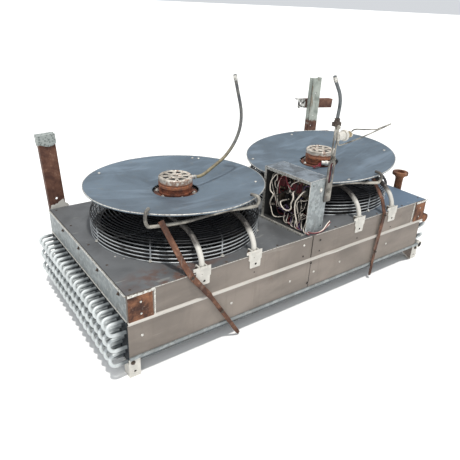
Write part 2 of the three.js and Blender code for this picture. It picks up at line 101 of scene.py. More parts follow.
# ---- settings --------------------------------------------------------------------------------
class CoolerSizes(bpy.types.PropertyGroup):
    """Sizes that a user would change."""

    wire_thickness: bpy.props.FloatProperty(
        name="Guard wire", description="Thickness of the guard's wire", default=0.0050, unit="LENGTH")
    ring_pitch: bpy.props.FloatProperty(
        name="Guard pitch", description="Distance between the guard's rings", default=0.0182, unit="LENGTH")
    tube_thickness: bpy.props.FloatProperty(
        name="Coil tube", description="Outside diameter of the coil's tubes", default=0.016, unit="LENGTH")
    blade_count: bpy.props.IntProperty(
        name="Blades", description="Blades of each fan", default=6, min=3, max=9)
    wire_count: bpy.props.IntProperty(
        name="Box wires", description="Loose wires inside the box", default=46, min=0, max=200)


def colour_setting(name, description, code):
    return bpy.props.FloatVectorProperty(
        name=name, description=description, default=tone(code), size=3, min=0, max=1, subtype="COLOR")


class CoolerColours(bpy.types.PropertyGroup):
    """Colours that a user would change."""

    # The cover discs' blue grey includes a painted reflection of the sky.
    cover: colour_setting("Cover discs", "Blue grey of the cover discs", "#5d6b77")
    deck: colour_setting("Fan deck", "Grey of the fan deck", "#696b6d")
    panel: colour_setting("Side panels", "Brown grey of the old side panels", "#867d75")
    zinc: colour_setting("Galvanised", "Grey of galvanised sheet", "#93999a")
    chalk: colour_setting("White zinc", "Chalky white of the arms and clips", "#cfccc4")
    coil: colour_setting("Coil tubes", "Pale metal of the return bends", "#c8cdcd")
    rust: colour_setting("Rust", "Main colour of the rust", "#83583f")
    primer: colour_setting("Motor", "Brown of the motor body", "#8a4f36")


# ---- shader arithmetic -----------------------------------------------------------------------
class Wire:
    """An output of a shader node, on which Python arithmetic can be written."""

    def __init__(self, finish, socket):
        self.finish = finish
        self.socket = socket

    def _math(self, operation, other, swapped=False):
        first, second = (other, self) if swapped else (self, other)
        return self.finish.node("Math", {"operation": operation}, {0: first, 1: second})

    def __add__(self, other):
        return self._math("ADD", other)

    def __sub__(self, other):
        return self._math("SUBTRACT", other)

    def __rsub__(self, other):
        return self._math("SUBTRACT", other, swapped=True)

    def __mul__(self, other):
        return self._math("MULTIPLY", other)

    __radd__ = __add__
    __rmul__ = __mul__

    def step(self, low, high):
        """0 below low and 1 above high, with a smooth change between; low may be the larger."""
        return self.finish.node("MapRange", {"interpolation_type": "SMOOTHSTEP"},
                                {"Value": self, "From Min": low, "From Max": high})


class Finish:
    """A material under construction: its nodes, and the words for the usual textures."""

    def __init__(self, name):
        self.material = bpy.data.materials.new(name)
        self.material.use_nodes = True
        self.tree = self.material.node_tree
        self.tree.nodes.clear()
        output = self.tree.nodes.new("ShaderNodeOutputMaterial")
        self.shader = self.tree.nodes.new("ShaderNodeBsdfPrincipled")
        self.tree.links.new(self.shader.outputs[0], output.inputs[0])
        self.place = self.node("TexCoord", output="Object")
        axes = self.node("SeparateXYZ", values={0: self.place})
        self.x, self.y, self.z = [Wire(self, axes.socket.node.outputs[i]) for i in range(3)]

    def node(self, kind, settings=None, values=None, output=0):
        node = self.tree.nodes.new("ShaderNode" + kind)
        for key, value in (settings or {}).items():
            setattr(node, key, value)
        for key, value in (values or {}).items():
            self.feed(node.inputs[key], value)
        return Wire(self, node.outputs[output])

    def feed(self, socket, value):
        """Sets a socket to a wire, a number, a vector or a hex colour."""
        if isinstance(value, str):
            value = tone(value)
        if isinstance(value, Wire):
            self.tree.links.new(value.socket, socket)
        elif hasattr(socket.default_value, "__len__"):
            parts = tuple(value)
            opaque = len(socket.default_value) == 4 and len(parts) == 3
            socket.default_value = (*parts, 1) if opaque else parts
        else:
            socket.default_value = value

    def mix(self, factor, first, second):
        return self.node("Mix", {"data_type": "RGBA"}, {0: factor, 6: first, 7: second}, 2)

    def stretched(self, amounts, turn=(0, 0, 0)):
        return self.node("Mapping", values={"Vector": self.place, "Scale": amounts, "Rotation": turn})

    def noise(self, scale, detail=4.0, stretch=None, distortion=0.0, turn=(0, 0, 0), roughness=0.55):
        place = self.stretched(stretch, turn) if stretch else self.place
        return self.node("TexNoise", values={"Vector": place, "Scale": scale, "Detail": detail,
                                             "Roughness": roughness, "Distortion": distortion})

    def cells(self, scale, output=0):
        return self.node("TexVoronoi", values={"Vector": self.place, "Scale": scale}, output=output)

    def spot(self, point, size, soft=0.5):
        """1 near a point in millimetres from the casing's corner, fading to 0 at its size."""
        here = self.node("VectorMath", {"operation": "SUBTRACT"}, {0: self.place, 1: metres(point)})
        away = self.node("VectorMath", {"operation": "LENGTH"}, {0: here}, "Value")
        return away.step(size / 1000, size * (1 - soft) / 1000)

    def ramp(self, axis, start, end, shift=None):
        """0 to 1 from start to end, in millimetres along an axis from the casing's corner."""
        way = getattr(self, axis)
        low, high = (metres((v, v, v))["xyz".index(axis)] for v in (start, end))
        return (way if shift is None else way + shift).step(low, high)

    def bump(self, height, distance):
        return self.node("Bump", values={"Height": height, "Distance": distance, "Strength": 1.0})

    def done(self, colour, roughness, metallic, normal=None):
        for key, value in {"Base Color": colour, "Roughness": roughness, "Metallic": metallic}.items():
            self.feed(self.shader.inputs[key], value)
        if normal:
            self.feed(self.shader.inputs["Normal"], normal)
        return self.material


# ---- finishes --------------------------------------------------------------------------------
def shades(name, dark, light):
    """A darker and a lighter shade of one of the colours in the settings."""
    base = getattr(bpy.context.scene.cooler_colours, name)
    return [tuple(min(1, k * v) for v in base) for k in (dark, light)]


def rust_layer(f, deep="#3a221a", mid=None, light="#a0704a"):
    """Rust's colour and its height, as two wires."""
    mid = mid or tuple(bpy.context.scene.cooler_colours.rust)
    grain = f.noise(90, 8, roughness=0.7)
    patches = f.noise(14, 6, roughness=0.65, distortion=0.4)
    colour = f.mix(patches.step(0.35, 0.62), deep, mid)
    colour = f.mix((grain * 0.6 + patches * 0.4).step(0.52, 0.68), colour, light)
    return colour, grain * 0.7 + patches * 0.3


def rusty_steel(f):
    colour, height = rust_layer(f)
    pale = f.noise(26, 6, distortion=0.8).step(0.62, 0.74)
    colour = f.mix(pale * 0.7, colour, "#a89a8c")
    return f.done(colour, 0.82 - 0.15 * pale, 0.15, f.bump(height, 0.0012))


def strap_rust(f):
    colour, height = rust_layer(f, "#3c241b", "#694634", "#97705a")
    worn = f.noise(30, 6, stretch=(1, 1, 0.25), distortion=0.5).step(0.56, 0.7)
    colour = f.mix(worn * 0.45, colour, "#8c7f76")
    return f.done(colour, 0.75, 0.2, f.bump(height, 0.001))


def cover_sheet(f):
    """Grey sheet tinted blue as a painted reflection of the sky, with dusty wipes and specks of rust."""
    clouds = f.noise(4.5, 5, distortion=0.7)
    dust = f.noise(30, 9, roughness=0.72)
    wipes = f.noise(9, 6, stretch=(0.35, 1.6, 1), turn=(0, 0, 0.5), distortion=0.4)
    # The cover colour's blue stands in for a painted reflection of the sky.
    colour = f.mix(clouds.step(0.3, 0.7), *shades("cover", 0.78, 1.2))
    colour = f.mix(wipes.step(0.52, 0.68) * 0.45, colour, "#7f8f9e")
    colour = f.mix(dust.step(0.55, 0.7) * 0.4, colour, "#7b766c")
    speck = f.cells(120).step(0.09, 0.05) * f.noise(7, 3).step(0.5, 0.65)
    colour = f.mix(speck * 0.8, colour, "#5d4435")
    rough = 0.42 + 0.25 * dust - 0.1 * wipes
    return f.done(colour, rough, 0.25, f.bump(clouds * 0.8 + dust * 0.12, 0.003))


def deck_sheet(f):
    clouds = f.noise(5, 6, distortion=0.6)
    grain = f.noise(60, 9, roughness=0.75)
    colour = f.mix(clouds.step(0.3, 0.68), *shades("deck", 0.72, 1.15))
    colour = f.mix(grain.step(0.6, 0.75) * 0.35, colour, "#9a9484")
    # Painted sky reflection: the deck turns blue grey towards its right end.
    right = f.ramp("x", 1250, 1850)
    colour = f.mix(right * 0.75, colour, "#607890")
    stain = f.ramp("y", 190, 60) * f.spot((250, 40, DECK), 330, 0.8)
    stain = stain * f.noise(16, 6).step(0.4, 0.6)
    colour = f.mix(stain * 0.75, colour, "#6a4a3c")
    marks = f.noise(22, 4, stretch=(0.3, 1.4, 1)).step(0.66, 0.7)
    colour = f.mix(marks * 0.25, colour, "#b8b8b0")
    return f.done(colour, 0.5 + 0.2 * grain, 0.3, f.bump(clouds + grain * 0.15, 0.002))


def panel_sheet(f):
    """Old zinc sheet gone brown grey, with runs below its joints."""
    clouds = f.noise(3.2, 6, stretch=(1, 1, 2.2), distortion=0.5)
    runs = f.noise(28, 6, stretch=(1, 1, 0.08), roughness=0.6)
    scrapes = f.noise(14, 7, stretch=(0.12, 1, 1.6), roughness=0.7)
    grain = f.noise(140, 6, roughness=0.7)
    colour = f.mix(clouds.step(0.3, 0.7), *shades("panel", 0.74, 1.12))
    colour = f.mix(runs.step(0.52, 0.75) * 0.35, colour, "#6f655b")
    colour = f.mix(scrapes.step(0.6, 0.72) * 0.4, colour, "#b3aea6")
    colour = f.mix(f.noise(11, 8, roughness=0.75).step(0.63, 0.72) * 0.55, colour, "#7a5440")
    lip = f.ramp("z", SPLIT + 13, SPLIT + 9)
    lip = lip * f.ramp("z", SPLIT - 4, SPLIT + 3)
    colour = f.mix(lip * f.noise(24, 5, stretch=(0.3, 1, 1)).step(0.35, 0.55) * 0.8, colour, "#c5c1ba")
    ridge = f.ramp("z", SPLIT - 3, SPLIT)
    ridge = ridge * f.ramp("z", SPLIT + 17, SPLIT + 13)
    colour = f.mix(ridge * (0.55 + 0.4 * grain), colour, "#c5c1ba")
    return f.done(colour, 0.5 + 0.2 * clouds, 0.35,
                  f.bump(clouds * 1.5 + grain * 0.12 + scrapes * 0.1, 0.002))


def galvanised(f):
    spangle = f.cells(55, output=1)
    grey = f.node("SeparateColor", values={0: spangle})
    colour = f.mix(grey.step(0.2, 0.9), *shades("zinc", 0.82, 1.15))
    grime = f.noise(12, 8, roughness=0.7, distortion=0.4)
    colour = f.mix(grime.step(0.5, 0.7) * 0.35, colour, "#6c6053")
    white = f.noise(20, 7, roughness=0.7).step(0.58, 0.7)
    colour = f.mix(white * 0.4, colour, "#dcdcd6")
    return f.done(colour, 0.4 + 0.25 * grime, 0.6, f.bump(grime + grey * 0.08, 0.0012))


def white_zinc(f):
    """Chalky white coat, chipped to dark steel with brown bleeding from the chips."""
    fine = f.noise(75, 8, roughness=0.72)
    broad = f.noise(18, 6, distortion=0.5)
    colour = f.mix(broad.step(0.35, 0.65), *shades("chalk", 0.82, 1))
    bleed = (fine * 0.5 + broad * 0.5).step(0.56, 0.64)
    colour = f.mix(bleed * 0.55, colour, "#a3806a")
    chip = (fine * 0.6 + broad * 0.4).step(0.62, 0.66)
    colour = f.mix(chip, colour, "#4c3d34")
    return f.done(colour, 0.55 + 0.2 * chip, 0.1, f.bump(fine - chip * 0.5, 0.0008))


def arm_coat(f):
    """White lower legs that turn dark higher up, in painted shade below the cover discs."""
    fine = f.noise(70, 8, roughness=0.7)
    broad = f.noise(16, 5)
    colour = f.mix(broad.step(0.3, 0.7), *shades("chalk", 0.85, 1))
    colour = f.mix((fine * 0.6 + broad * 0.4).step(0.6, 0.68), colour, "#6d5a4d")
    # Painted shade: the tubes go dark grey where they pass under the cover discs.
    dark = f.ramp("z", DECK + 92, DECK + 118, (broad - 0.5) * 0.06)
    colour = f.mix(dark, colour, f.mix(fine.step(0.4, 0.7), "#3d3a38", "#6b6660"))
    return f.done(colour, 0.55, 0.15, f.bump(fine, 0.0006))


def coil_tube(f):
    fine = f.noise(65, 7, roughness=0.7)
    broad = f.noise(9, 4)
    colour = f.mix(broad.step(0.3, 0.7), *shades("coil", 0.86, 1.05))
    colour = f.mix(fine.step(0.58, 0.74) * 0.4, colour, "#8d979a")
    # Painted shade between the bends: each tube darkens towards the tube plates, leaving only the outer ends
    # bright.
    root = f.ramp("x", -58, -20)
    root = root * f.ramp("x", LENGTH + 58, LENGTH + 20)
    colour = f.mix(root * 0.85, colour, "#353c41")
    return f.done(colour, 0.5, 0.25, f.bump(fine, 0.0005))


def tube_plate(f):
    # Painted shade: the tube plates and bend collars are near black, as between the bends they lie in shade.
    fine = f.noise(45, 7, roughness=0.7)
    colour = f.mix(fine.step(0.35, 0.7), "#16191c", "#333a40")
    return f.done(colour, 0.6, 0.4, f.bump(fine, 0.0008))


def fin_stack(f):
    """Thin fins edge to edge along the casing."""
    comb = f.node("TexWave", {"bands_direction": "X", "wave_profile": "TRI"},
                  {"Vector": f.place, "Scale": 95.0, "Distortion": 0.6, "Detail": 1.0, "Detail Scale": 2.0})
    dirt = f.noise(18, 7, roughness=0.7)
    colour = f.mix(comb, "#2b2f32", "#8a9296")
    colour = f.mix(dirt.step(0.45, 0.7) * 0.6, colour, "#5f5547")
    return f.done(colour, 0.55, 0.5, f.bump(comb, 0.0015))


def guard_wire(f):
    """Black coat, with painted highlights on the lowest rings."""
    fine = f.noise(80, 6, roughness=0.7)
    low = f.ramp("z", DECK + 92, DECK + 50)
    colour = f.mix(fine.step(0.4, 0.75), "#141518", "#35363a")
    # Painted highlight: bright patches on the lowest rings stand in for light on the wire.
    worn = low * f.noise(7, 4, stretch=(1, 1, 3)).step(0.28, 0.48)
    colour = f.mix(worn * 0.9, colour, "#c2c6c8")
    return f.done(colour, 0.45, 0.4, f.bump(fine, 0.0004))


def fan_black(f):
    fine = f.noise(40, 7, roughness=0.7)
    dust = f.noise(8, 6, distortion=0.5).step(0.45, 0.7)
    colour = f.mix(fine.step(0.3, 0.8), "#101113", "#2b2c2f")
    colour = f.mix(dust * 0.4, colour, "#5d574e")
    return f.done(colour, 0.6, 0.1, f.bump(fine, 0.0006))


def dark_sheet(f):
    fine = f.noise(50, 7, roughness=0.7)
    colour = f.mix(fine.step(0.35, 0.75), "#1d1d1f", "#47423e")
    return f.done(colour, 0.6, 0.3, f.bump(fine, 0.0006))


def motor_paint(f):
    """Brown primer going to orange rust, with painted shade low down, below the cover disc."""
    colour, height = rust_layer(f, "#4a2a1f", tuple(bpy.context.scene.cooler_colours.primer), "#b8784e")
    # Painted shade: the body darkens from the cover disc's level downwards.
    low = f.ramp("z", DECK + 185, DECK + 150)
    colour = f.mix(low * 0.8, colour, "#2b2320")
    return f.done(colour, 0.75, 0.1, f.bump(height, 0.001))


def cast_cap(f):
    fine = f.noise(60, 8, roughness=0.72)
    broad = f.noise(16, 6, distortion=0.8)
    colour = f.mix(broad.step(0.35, 0.6), "#8d857b", "#d9d3c8")
    colour = f.mix((fine * 0.5 + broad * 0.5).step(0.5, 0.58) * 0.8, colour, "#7d563f")
    rust = f.mix(fine.step(0.35, 0.65), "#6b3c28", "#b06f4a")
    low = f.ramp("z", DECK + 230, DECK + 223, (broad - 0.5) * 0.02)
    return f.done(f.mix(low * 0.92, colour, rust), 0.6, 0.15, f.bump(fine, 0.0012))


def stay_bar(f):
    fine = f.noise(60, 7, roughness=0.7)
    broad = f.noise(14, 5)
    colour = f.mix(broad.step(0.35, 0.62), "#55524e", "#aaa69c")
    colour = f.mix(fine.step(0.6, 0.72) * 0.5, colour, "#7b5a45")
    return f.done(colour, 0.5, 0.45, f.bump(fine, 0.0005))


def post_paint(f):
    """Grey-green galvanised top above rusty brown."""
    rusty, height = rust_layer(f, "#4b2f26", "#6f4c3c", "#8f6f5c")
    patches = f.noise(16, 6, distortion=0.6)
    zinc = f.mix(patches.step(0.35, 0.65), "#8c938b", "#b6bcb3")
    zinc = f.mix(f.noise(40, 7, stretch=(1, 1, 0.2)).step(0.58, 0.68) * 0.7, zinc, "#7d6650")
    right = f.ramp("x", 1700, 1720)
    upper = f.ramp("z", 560, 590, (patches - 0.5) * 0.12)
    colour = f.mix(upper * right, rusty, zinc)
    return f.done(colour, 0.7, 0.2, f.bump(height, 0.001))


def cross_arm_rust(f):
    rusty, height = rust_layer(f, "#4b2f26", "#6f4c3c", "#8f6f5c")
    pale = f.mix(f.noise(60, 5).step(0.45, 0.55), "#d8d8d2", "#3f4140")
    left = f.ramp("x", 1803, 1795)
    return f.done(f.mix(left * 0.9, rusty, pale), 0.7, 0.2, f.bump(height, 0.001))


def box_sheet(f):
    grime = f.noise(14, 8, roughness=0.72, distortion=0.5)
    spangle = f.node("SeparateColor", values={0: f.cells(70, output=1)})
    colour = f.mix(spangle.step(0.2, 0.9), *shades("zinc", 0.85, 1.2))
    colour = f.mix(grime.step(0.55, 0.7) * 0.5, colour, "#5f564e")
    roof = f.ramp("z", DECK + 268, DECK + 270)
    colour = f.mix(roof * 0.75, colour, f.mix(grime.step(0.4, 0.6), "#3f4650", "#7d8792"))
    # Painted shade: the inside of the open box, below its roof and behind its front wall, is made near black.
    inside = f.ramp("z", DECK + 268, DECK + 262)
    inside = inside * f.ramp("y", 38, 46)
    colour = f.mix(inside * 0.88, colour, "#231f1e")
    return f.done(colour, 0.5 + 0.2 * grime, 0.4, f.bump(grime, 0.0015))


def switchgear(f):
    fine = f.noise(60, 7, roughness=0.7)
    dust = f.noise(16, 6).step(0.5, 0.7)
    colour = f.mix(fine.step(0.3, 0.8), "#161616", "#38332f")
    colour = f.mix(dust * 0.5, colour, "#7a6c5e")
    return f.done(colour, 0.6, 0.0, f.bump(fine, 0.0006))


def relay_red(f):
    fine = f.noise(50, 7, roughness=0.7)
    colour = f.mix(fine.step(0.3, 0.7), "#33171a", "#632b2f")
    return f.done(colour, 0.5, 0.0, f.bump(fine, 0.0005))


def plastic_wire(f, code, dust="#8d8478"):
    fine = f.noise(60, 6, roughness=0.7)
    colour = f.mix(fine.step(0.55, 0.75) * 0.5, code, dust)
    return f.done(colour, 0.45, 0.0, f.bump(fine, 0.0002))


def brass_screws(f):
    fine = f.noise(90, 6, roughness=0.7)
    colour = f.mix(fine.step(0.4, 0.7), "#b5a482", "#6c5a41")
    return f.done(colour, 0.4, 0.8, f.bump(fine, 0.0003))


def cable_sheath(f):
    """Yellowed near the motor, blue grey higher up."""
    fine = f.noise(40, 6, roughness=0.65)
    high = f.ramp("z", DECK + 280, DECK + 400)
    low = f.mix(fine.step(0.4, 0.7), "#8f8364", "#5f5744")
    upper = f.mix(fine.step(0.4, 0.7), "#6e6d68", "#474a50")
    return f.done(f.mix(high, low, upper), 0.5, 0.0, f.bump(fine, 0.0004))


def conduit_sheath(f):
    coils = f.node("TexWave", {"bands_direction": "Z"}, {"Vector": f.place, "Scale": 60.0})
    fine = f.noise(40, 6, roughness=0.65)
    colour = f.mix(fine.step(0.4, 0.7), "#666a6c", "#3c4144")
    return f.done(colour, 0.45, 0.3, f.bump(coils + fine * 0.3, 0.0006))


def dark_hole(f):
    # Near black: painted shade standing for the unlit insides of holes, slots and open pipe ends.
    fine = f.noise(80, 5)
    return f.done(f.mix(fine, "#0d0c0c", "#241f1c"), 0.8, 0.0, f.bump(fine, 0.0003))


def zinc_screw(f):
    fine = f.noise(120, 6, roughness=0.7)
    colour = f.mix(fine.step(0.4, 0.7), "#d9d8d2", "#7d7367")
    return f.done(colour, 0.4, 0.6, f.bump(fine, 0.0003))


def cap_zinc(f):
    """Grey-green crystals of zinc, specked with dirt."""
    grain = f.cells(85)
    fine = f.noise(90, 6, roughness=0.7)
    colour = f.mix(grain.step(0.1, 0.6), "#686e6c", "#a8aeaa")
    colour = f.mix(fine.step(0.58, 0.68) * 0.8, colour, "#3f4240")
    return f.done(colour, 0.55, 0.3, f.bump(grain, 0.0008))


def old_screw(f):
    fine = f.noise(120, 6, roughness=0.7)
    colour = f.mix(fine.step(0.4, 0.7), "#3a312b", "#6d5f54")
    return f.done(colour, 0.6, 0.4, f.bump(fine, 0.0003))


def floor_board(f):
    fine = f.noise(3, 3)
    return f.done(f.mix(fine, "#f6f6f5", "#fbfbfa"), 0.9, 0.0)


FINISHES = {
    "rusty_steel": rusty_steel, "strap_rust": strap_rust, "cover_sheet": cover_sheet,
    "deck_sheet": deck_sheet,
    "panel_sheet": panel_sheet, "galvanised": galvanised, "white_zinc": white_zinc, "arm_coat": arm_coat,
    "coil_tube": coil_tube, "tube_plate": tube_plate, "fin_stack": fin_stack, "guard_wire": guard_wire,
    "fan_black": fan_black, "dark_sheet": dark_sheet, "motor_paint": motor_paint, "cast_cap": cast_cap,
    "stay_bar": stay_bar, "post_paint": post_paint, "cross_arm_rust": cross_arm_rust, "box_sheet": box_sheet,
    "switchgear": switchgear, "relay_red": relay_red, "brass_screws": brass_screws,
    "cable_sheath": cable_sheath, "conduit_sheath": conduit_sheath, "dark_hole": dark_hole,
    "zinc_screw": zinc_screw, "cap_zinc": cap_zinc, "old_screw": old_screw, "floor_board": floor_board,
    "wire_red": lambda f: plastic_wire(f, "#74202b", "#5b4a44"),
    "wire_white": lambda f: plastic_wire(f, "#dcd3c6"),
    "wire_black": lambda f: plastic_wire(f, "#191717", "#4d453f"),
    "wire_violet": lambda f: plastic_wire(f, "#59466b"),
}


MADE = {}


def finish(name):
    """The finish of that name, made the first time it is asked for."""
    if name not in MADE:
        MADE[name] = FINISHES[name](Finish(name.replace("_", " ") + " finish"))
    return MADE[name]


def coat(node, name):
    """Gives a CAD node a better material."""
    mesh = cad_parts[node].data
    mesh.materials.clear()
    mesh.materials.append(finish(name))


# ---- shapes ----------------------------------------------------------------------------------
def curve_through(points, steps, closed=False):
    """A smooth line through points, with that many steps between each two."""
    points = [Vector(p) for p in points]
    count = len(points)
    line = []
    for i in range(count if closed else count - 1):
        if closed:
            a, b, c, d = (points[(i + k) % count] for k in (-1, 0, 1, 2))
        else:
            b, c = points[i], points[i + 1]
            a = points[i - 1] if i else 2 * b - c
            d = points[i + 2] if i + 2 < count else 2 * c - b
        for k in range(steps):
            t = k / steps
            line.append(0.5 * (2 * b + (c - a) * t + (2 * a - 5 * b + 4 * c - d) * t * t
                               + (3 * b - a - 3 * c + d) * t ** 3))
    return line if closed else line + [points[-1]]


class Shape:
    """The faces of one piece, in millimetres from the casing's front left bottom corner."""

    def __init__(self, matrix=None):
        self.points = []
        self.faces = []
        self.matrix = matrix or Matrix()

    def add(self, points, faces, matrix=None):
        place = self.matrix @ (matrix or Matrix())
        first = len(self.points)
        self.points += [place @ Vector(p) for p in points]
        self.faces += [[first + i for i in face] for face in faces]
        return self

    def block(self, low, high, matrix=None):
        xs, ys, zs = zip(low, high)
        points = [(x, y, z) for x in xs for y in ys for z in zs]
        faces = [(0, 1, 3, 2), (4, 6, 7, 5), (0, 4, 5, 1), (2, 3, 7, 6), (0, 2, 6, 4), (1, 5, 7, 3)]
        return self.add(points, faces, matrix)

    def sweep(self, line, radius, sides=10, closed=False, flat=1.0, up=None, matrix=None):
        """A bar along a line. radius may be a function of the way along, from 0 to 1."""
        line = [Vector(p) for p in line]
        count = len(line)
        rings = []
        side = None
        for i, here in enumerate(line):
            before = line[i - 1] if i or closed else here
            after = line[(i + 1) % count] if i + 1 < count or closed else here
            along = (after - before).normalized()
            if up is not None:
                side = along.cross(Vector(up)).normalized()
            elif side is None:
                side = along.orthogonal().normalized()
            else:
                side = (side - along * side.dot(along)).normalized()
            over = along.cross(side)
            r = radius(i / (count - 1)) if callable(radius) else radius
            rings.append([here + side * (r * math.cos(a)) + over * (r * flat * math.sin(a))
                          for a in ((2 * math.pi * (k + 0.5)) / sides for k in range(sides))])
        points = [p for ring in rings for p in ring]
        faces = []
        for i in range(count if closed else count - 1):
            j = (i + 1) % count
            faces += [(i * sides + k, i * sides + (k + 1) % sides, j * sides + (k + 1) % sides, j * sides + k)
                      for k in range(sides)]
        if not closed:
            faces += [tuple(range(sides))[::-1], tuple(range((count - 1) * sides, count * sides))]
        return self.add(points, faces, matrix)

    def turned(self, profile, segments=64, matrix=None, wobble=None):
        """A piece turned about Z from a closed [radius, height] outline, or one that starts and ends on Z."""
        points, rings = [], []
        for r, z in profile:
            if r < 1e-6:
                rings.append([len(points)])
                points.append((0, 0, z))
            else:
                rings.append(list(range(len(points), len(points) + segments)))
                for k in range(segments):
                    a = 2 * math.pi * k / segments
                    lift = wobble(r, a) if wobble else 0
                    points.append((r * math.cos(a), r * math.sin(a), z + lift))
        pairs = list(zip(rings, rings[1:]))
        if len(rings[0]) > 1:
            pairs.append((rings[-1], rings[0]))
        faces = []
        for one, two in pairs:
            for k in range(segments):
                n = (k + 1) % segments
                if len(one) == 1 and len(two) == 1:
                    continue
                if len(one) == 1:
                    faces.append((one[0], two[k], two[n]))
                elif len(two) == 1:
                    faces.append((one[k], two[0], one[n]))
                else:
                    faces.append((one[k], two[k], two[n], one[n]))
        return self.add(points, faces, matrix)

    def plate(self, outline, thickness, holes=(), matrix=None):
        """A flat sheet in X and Y with holes, thickened along Z."""
        loops = [list(outline)] + [list(hole) for hole in holes]
        flat = [Vector((x, y, 0)) for loop in loops for x, y in loop]
        triangles = geometry.tessellate_polygon([[Vector((x, y, 0)) for x, y in loop] for loop in loops])
        count = len(flat)
        points = [(p.x, p.y, 0) for p in flat] + [(p.x, p.y, thickness) for p in flat]
        faces = [tuple(t) for t in triangles] + [tuple(count + i for i in t) for t in triangles]
        first = 0
        for loop in loops:
            size = len(loop)
            faces += [(first + k, first + (k + 1) % size, count + first + (k + 1) % size, count + first + k)
                      for k in range(size)]
            first += size
        return self.add(points, faces, matrix)

    def make(self, name, material, body="unit", slot=None, replaces=(), bevel=0.0, smooth=35):
        mesh = bpy.data.meshes.new(name)
        mesh.from_pydata([metres(p) for p in self.points], [], self.faces)
        work = bmesh.new()
        work.from_mesh(mesh)
        bmesh.ops.remove_doubles(work, verts=work.verts, dist=1e-6)
        bmesh.ops.recalc_face_normals(work, faces=work.faces)
        work.to_mesh(mesh)
        work.free()
        mesh.polygons.foreach_set("use_smooth", [True] * len(mesh.polygons))
        mesh.set_sharp_from_angle(angle=math.radians(smooth))
        mesh.materials.append(finish(material))
        piece = bpy.data.objects.new(name, mesh)
        bpy.context.scene.collection.objects.link(piece)
        if bevel:
            soft = piece.modifiers.new("worn edges", "BEVEL")
            soft.width = bevel / 1000
            soft.segments = 2
            soft.limit_method = "ANGLE"
            soft.angle_limit = math.radians(50)
            soft.harden_normals = True
        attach(piece, body)
        if replaces:
            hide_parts(*replaces)
        return piece


def sheet_faces(across, along):
    """Faces that close two layers of (across + 1) by (along + 1) points into a thin sheet."""
    row, size = across + 1, (across + 1) * (along + 1)
    faces = []
    for j in range(along):
        for i in range(across):
            a = j * row + i
            faces.append((a, a + 1, a + row + 1, a + row))
            faces.append((size + a, size + a + row, size + a + row + 1, size + a + 1))
    rim = list(range(row)) + [j * row + across for j in range(1, along + 1)]
    rim += [along * row + i for i in range(across - 1, -1, -1)] + [j * row for j in range(along - 1, 0, -1)]
    return faces + [(a, size + a, size + b, b) for a, b in zip(rim, rim[1:] + rim[:1])]


def circle(x, y, r, sides=16):
    return [(x + r * math.cos(2 * math.pi * k / sides), y + r * math.sin(2 * math.pi * k / sides))
            for k in range(sides)]


def hole(x, y, r, sides=16):
    """A round hole for plate()."""
    return circle(x, y, r, sides)[::-1]


def slot_hole(x0, x1, y0, y1):
    """A long hole for plate(), with round ends, standing along Y."""
    sides = 8
    r = (x1 - x0) / 2
    middle = (x0 + x1) / 2
    top = [(middle + r * math.cos(math.pi * k / sides), y1 - r + r * math.sin(math.pi * k / sides))
           for k in range(sides + 1)]
    low = [(middle - r * math.cos(math.pi * k / sides), y0 + r - r * math.sin(math.pi * k / sides))
           for k in range(sides + 1)]
    return (top + low)[::-1]


def facing(point, normal, spin=0.0):
    """A place at a point whose Z looks along normal."""
    turn = Vector((0, 0, 1)).rotation_difference(Vector(normal)).to_matrix().to_4x4()
    return Matrix.Translation(point) @ turn @ Matrix.Rotation(spin, 4, "Z")


def upright(y):
    """Places a sheet drawn in X and Z against the front, its thickness towards the rear from y."""
    return Matrix.Translation((0, y, 0)) @ Matrix(((1, 0, 0, 0), (0, 0, 1, 0), (0, 1, 0, 0), (0, 0, 0, 1)))


def dome(shape, point, normal, r, height):
    """A round rivet or screw head."""
    profile = [(0, height)] + [(r * math.sin(a), height * math.cos(a)) for a in (0.4, 0.8, 1.2, 1.5)]
    return shape.turned(profile + [(r, -0.8), (0, -0.8)], 14, facing(point, normal))


def puck(shape, point, normal, r, height, sides, crown=0.0):
    """A low round pad, used for screw faces and the dark backs of holes."""
    return shape.turned([(0, 0), (r, 0), (r, height), (0, height + crown)], sides, facing(point, normal))


def hex_bolt(shape, point, normal, r, height, washer):
    """A washer, a hexagon nut and the bolt's end."""
    puck(shape, point, normal, washer, 1.4, 20)
    shape.turned([(0, 1.2), (r, 1.2), (r, height), (r - 1, height + 1), (0, height + 1)], 6,
                 facing(point, normal, 0.3))
    return shape.turned([(0, height), (r * 0.55, height), (r * 0.55, height + 4), (0, height + 5)], 12,
                        facing(point, normal))


def jagged(start, end, depth, count, seed):
    """A torn edge: points from start to end that stray to one side."""
    pick = random.Random(seed)
    a, b = Vector(start), Vector(end)
    side = Vector((-(b - a).y, (b - a).x)).normalized()
    return [tuple(a.lerp(b, k / count) + side * (pick.uniform(0, depth) if 0 < k < count else 0))
            for k in range(count + 1)]


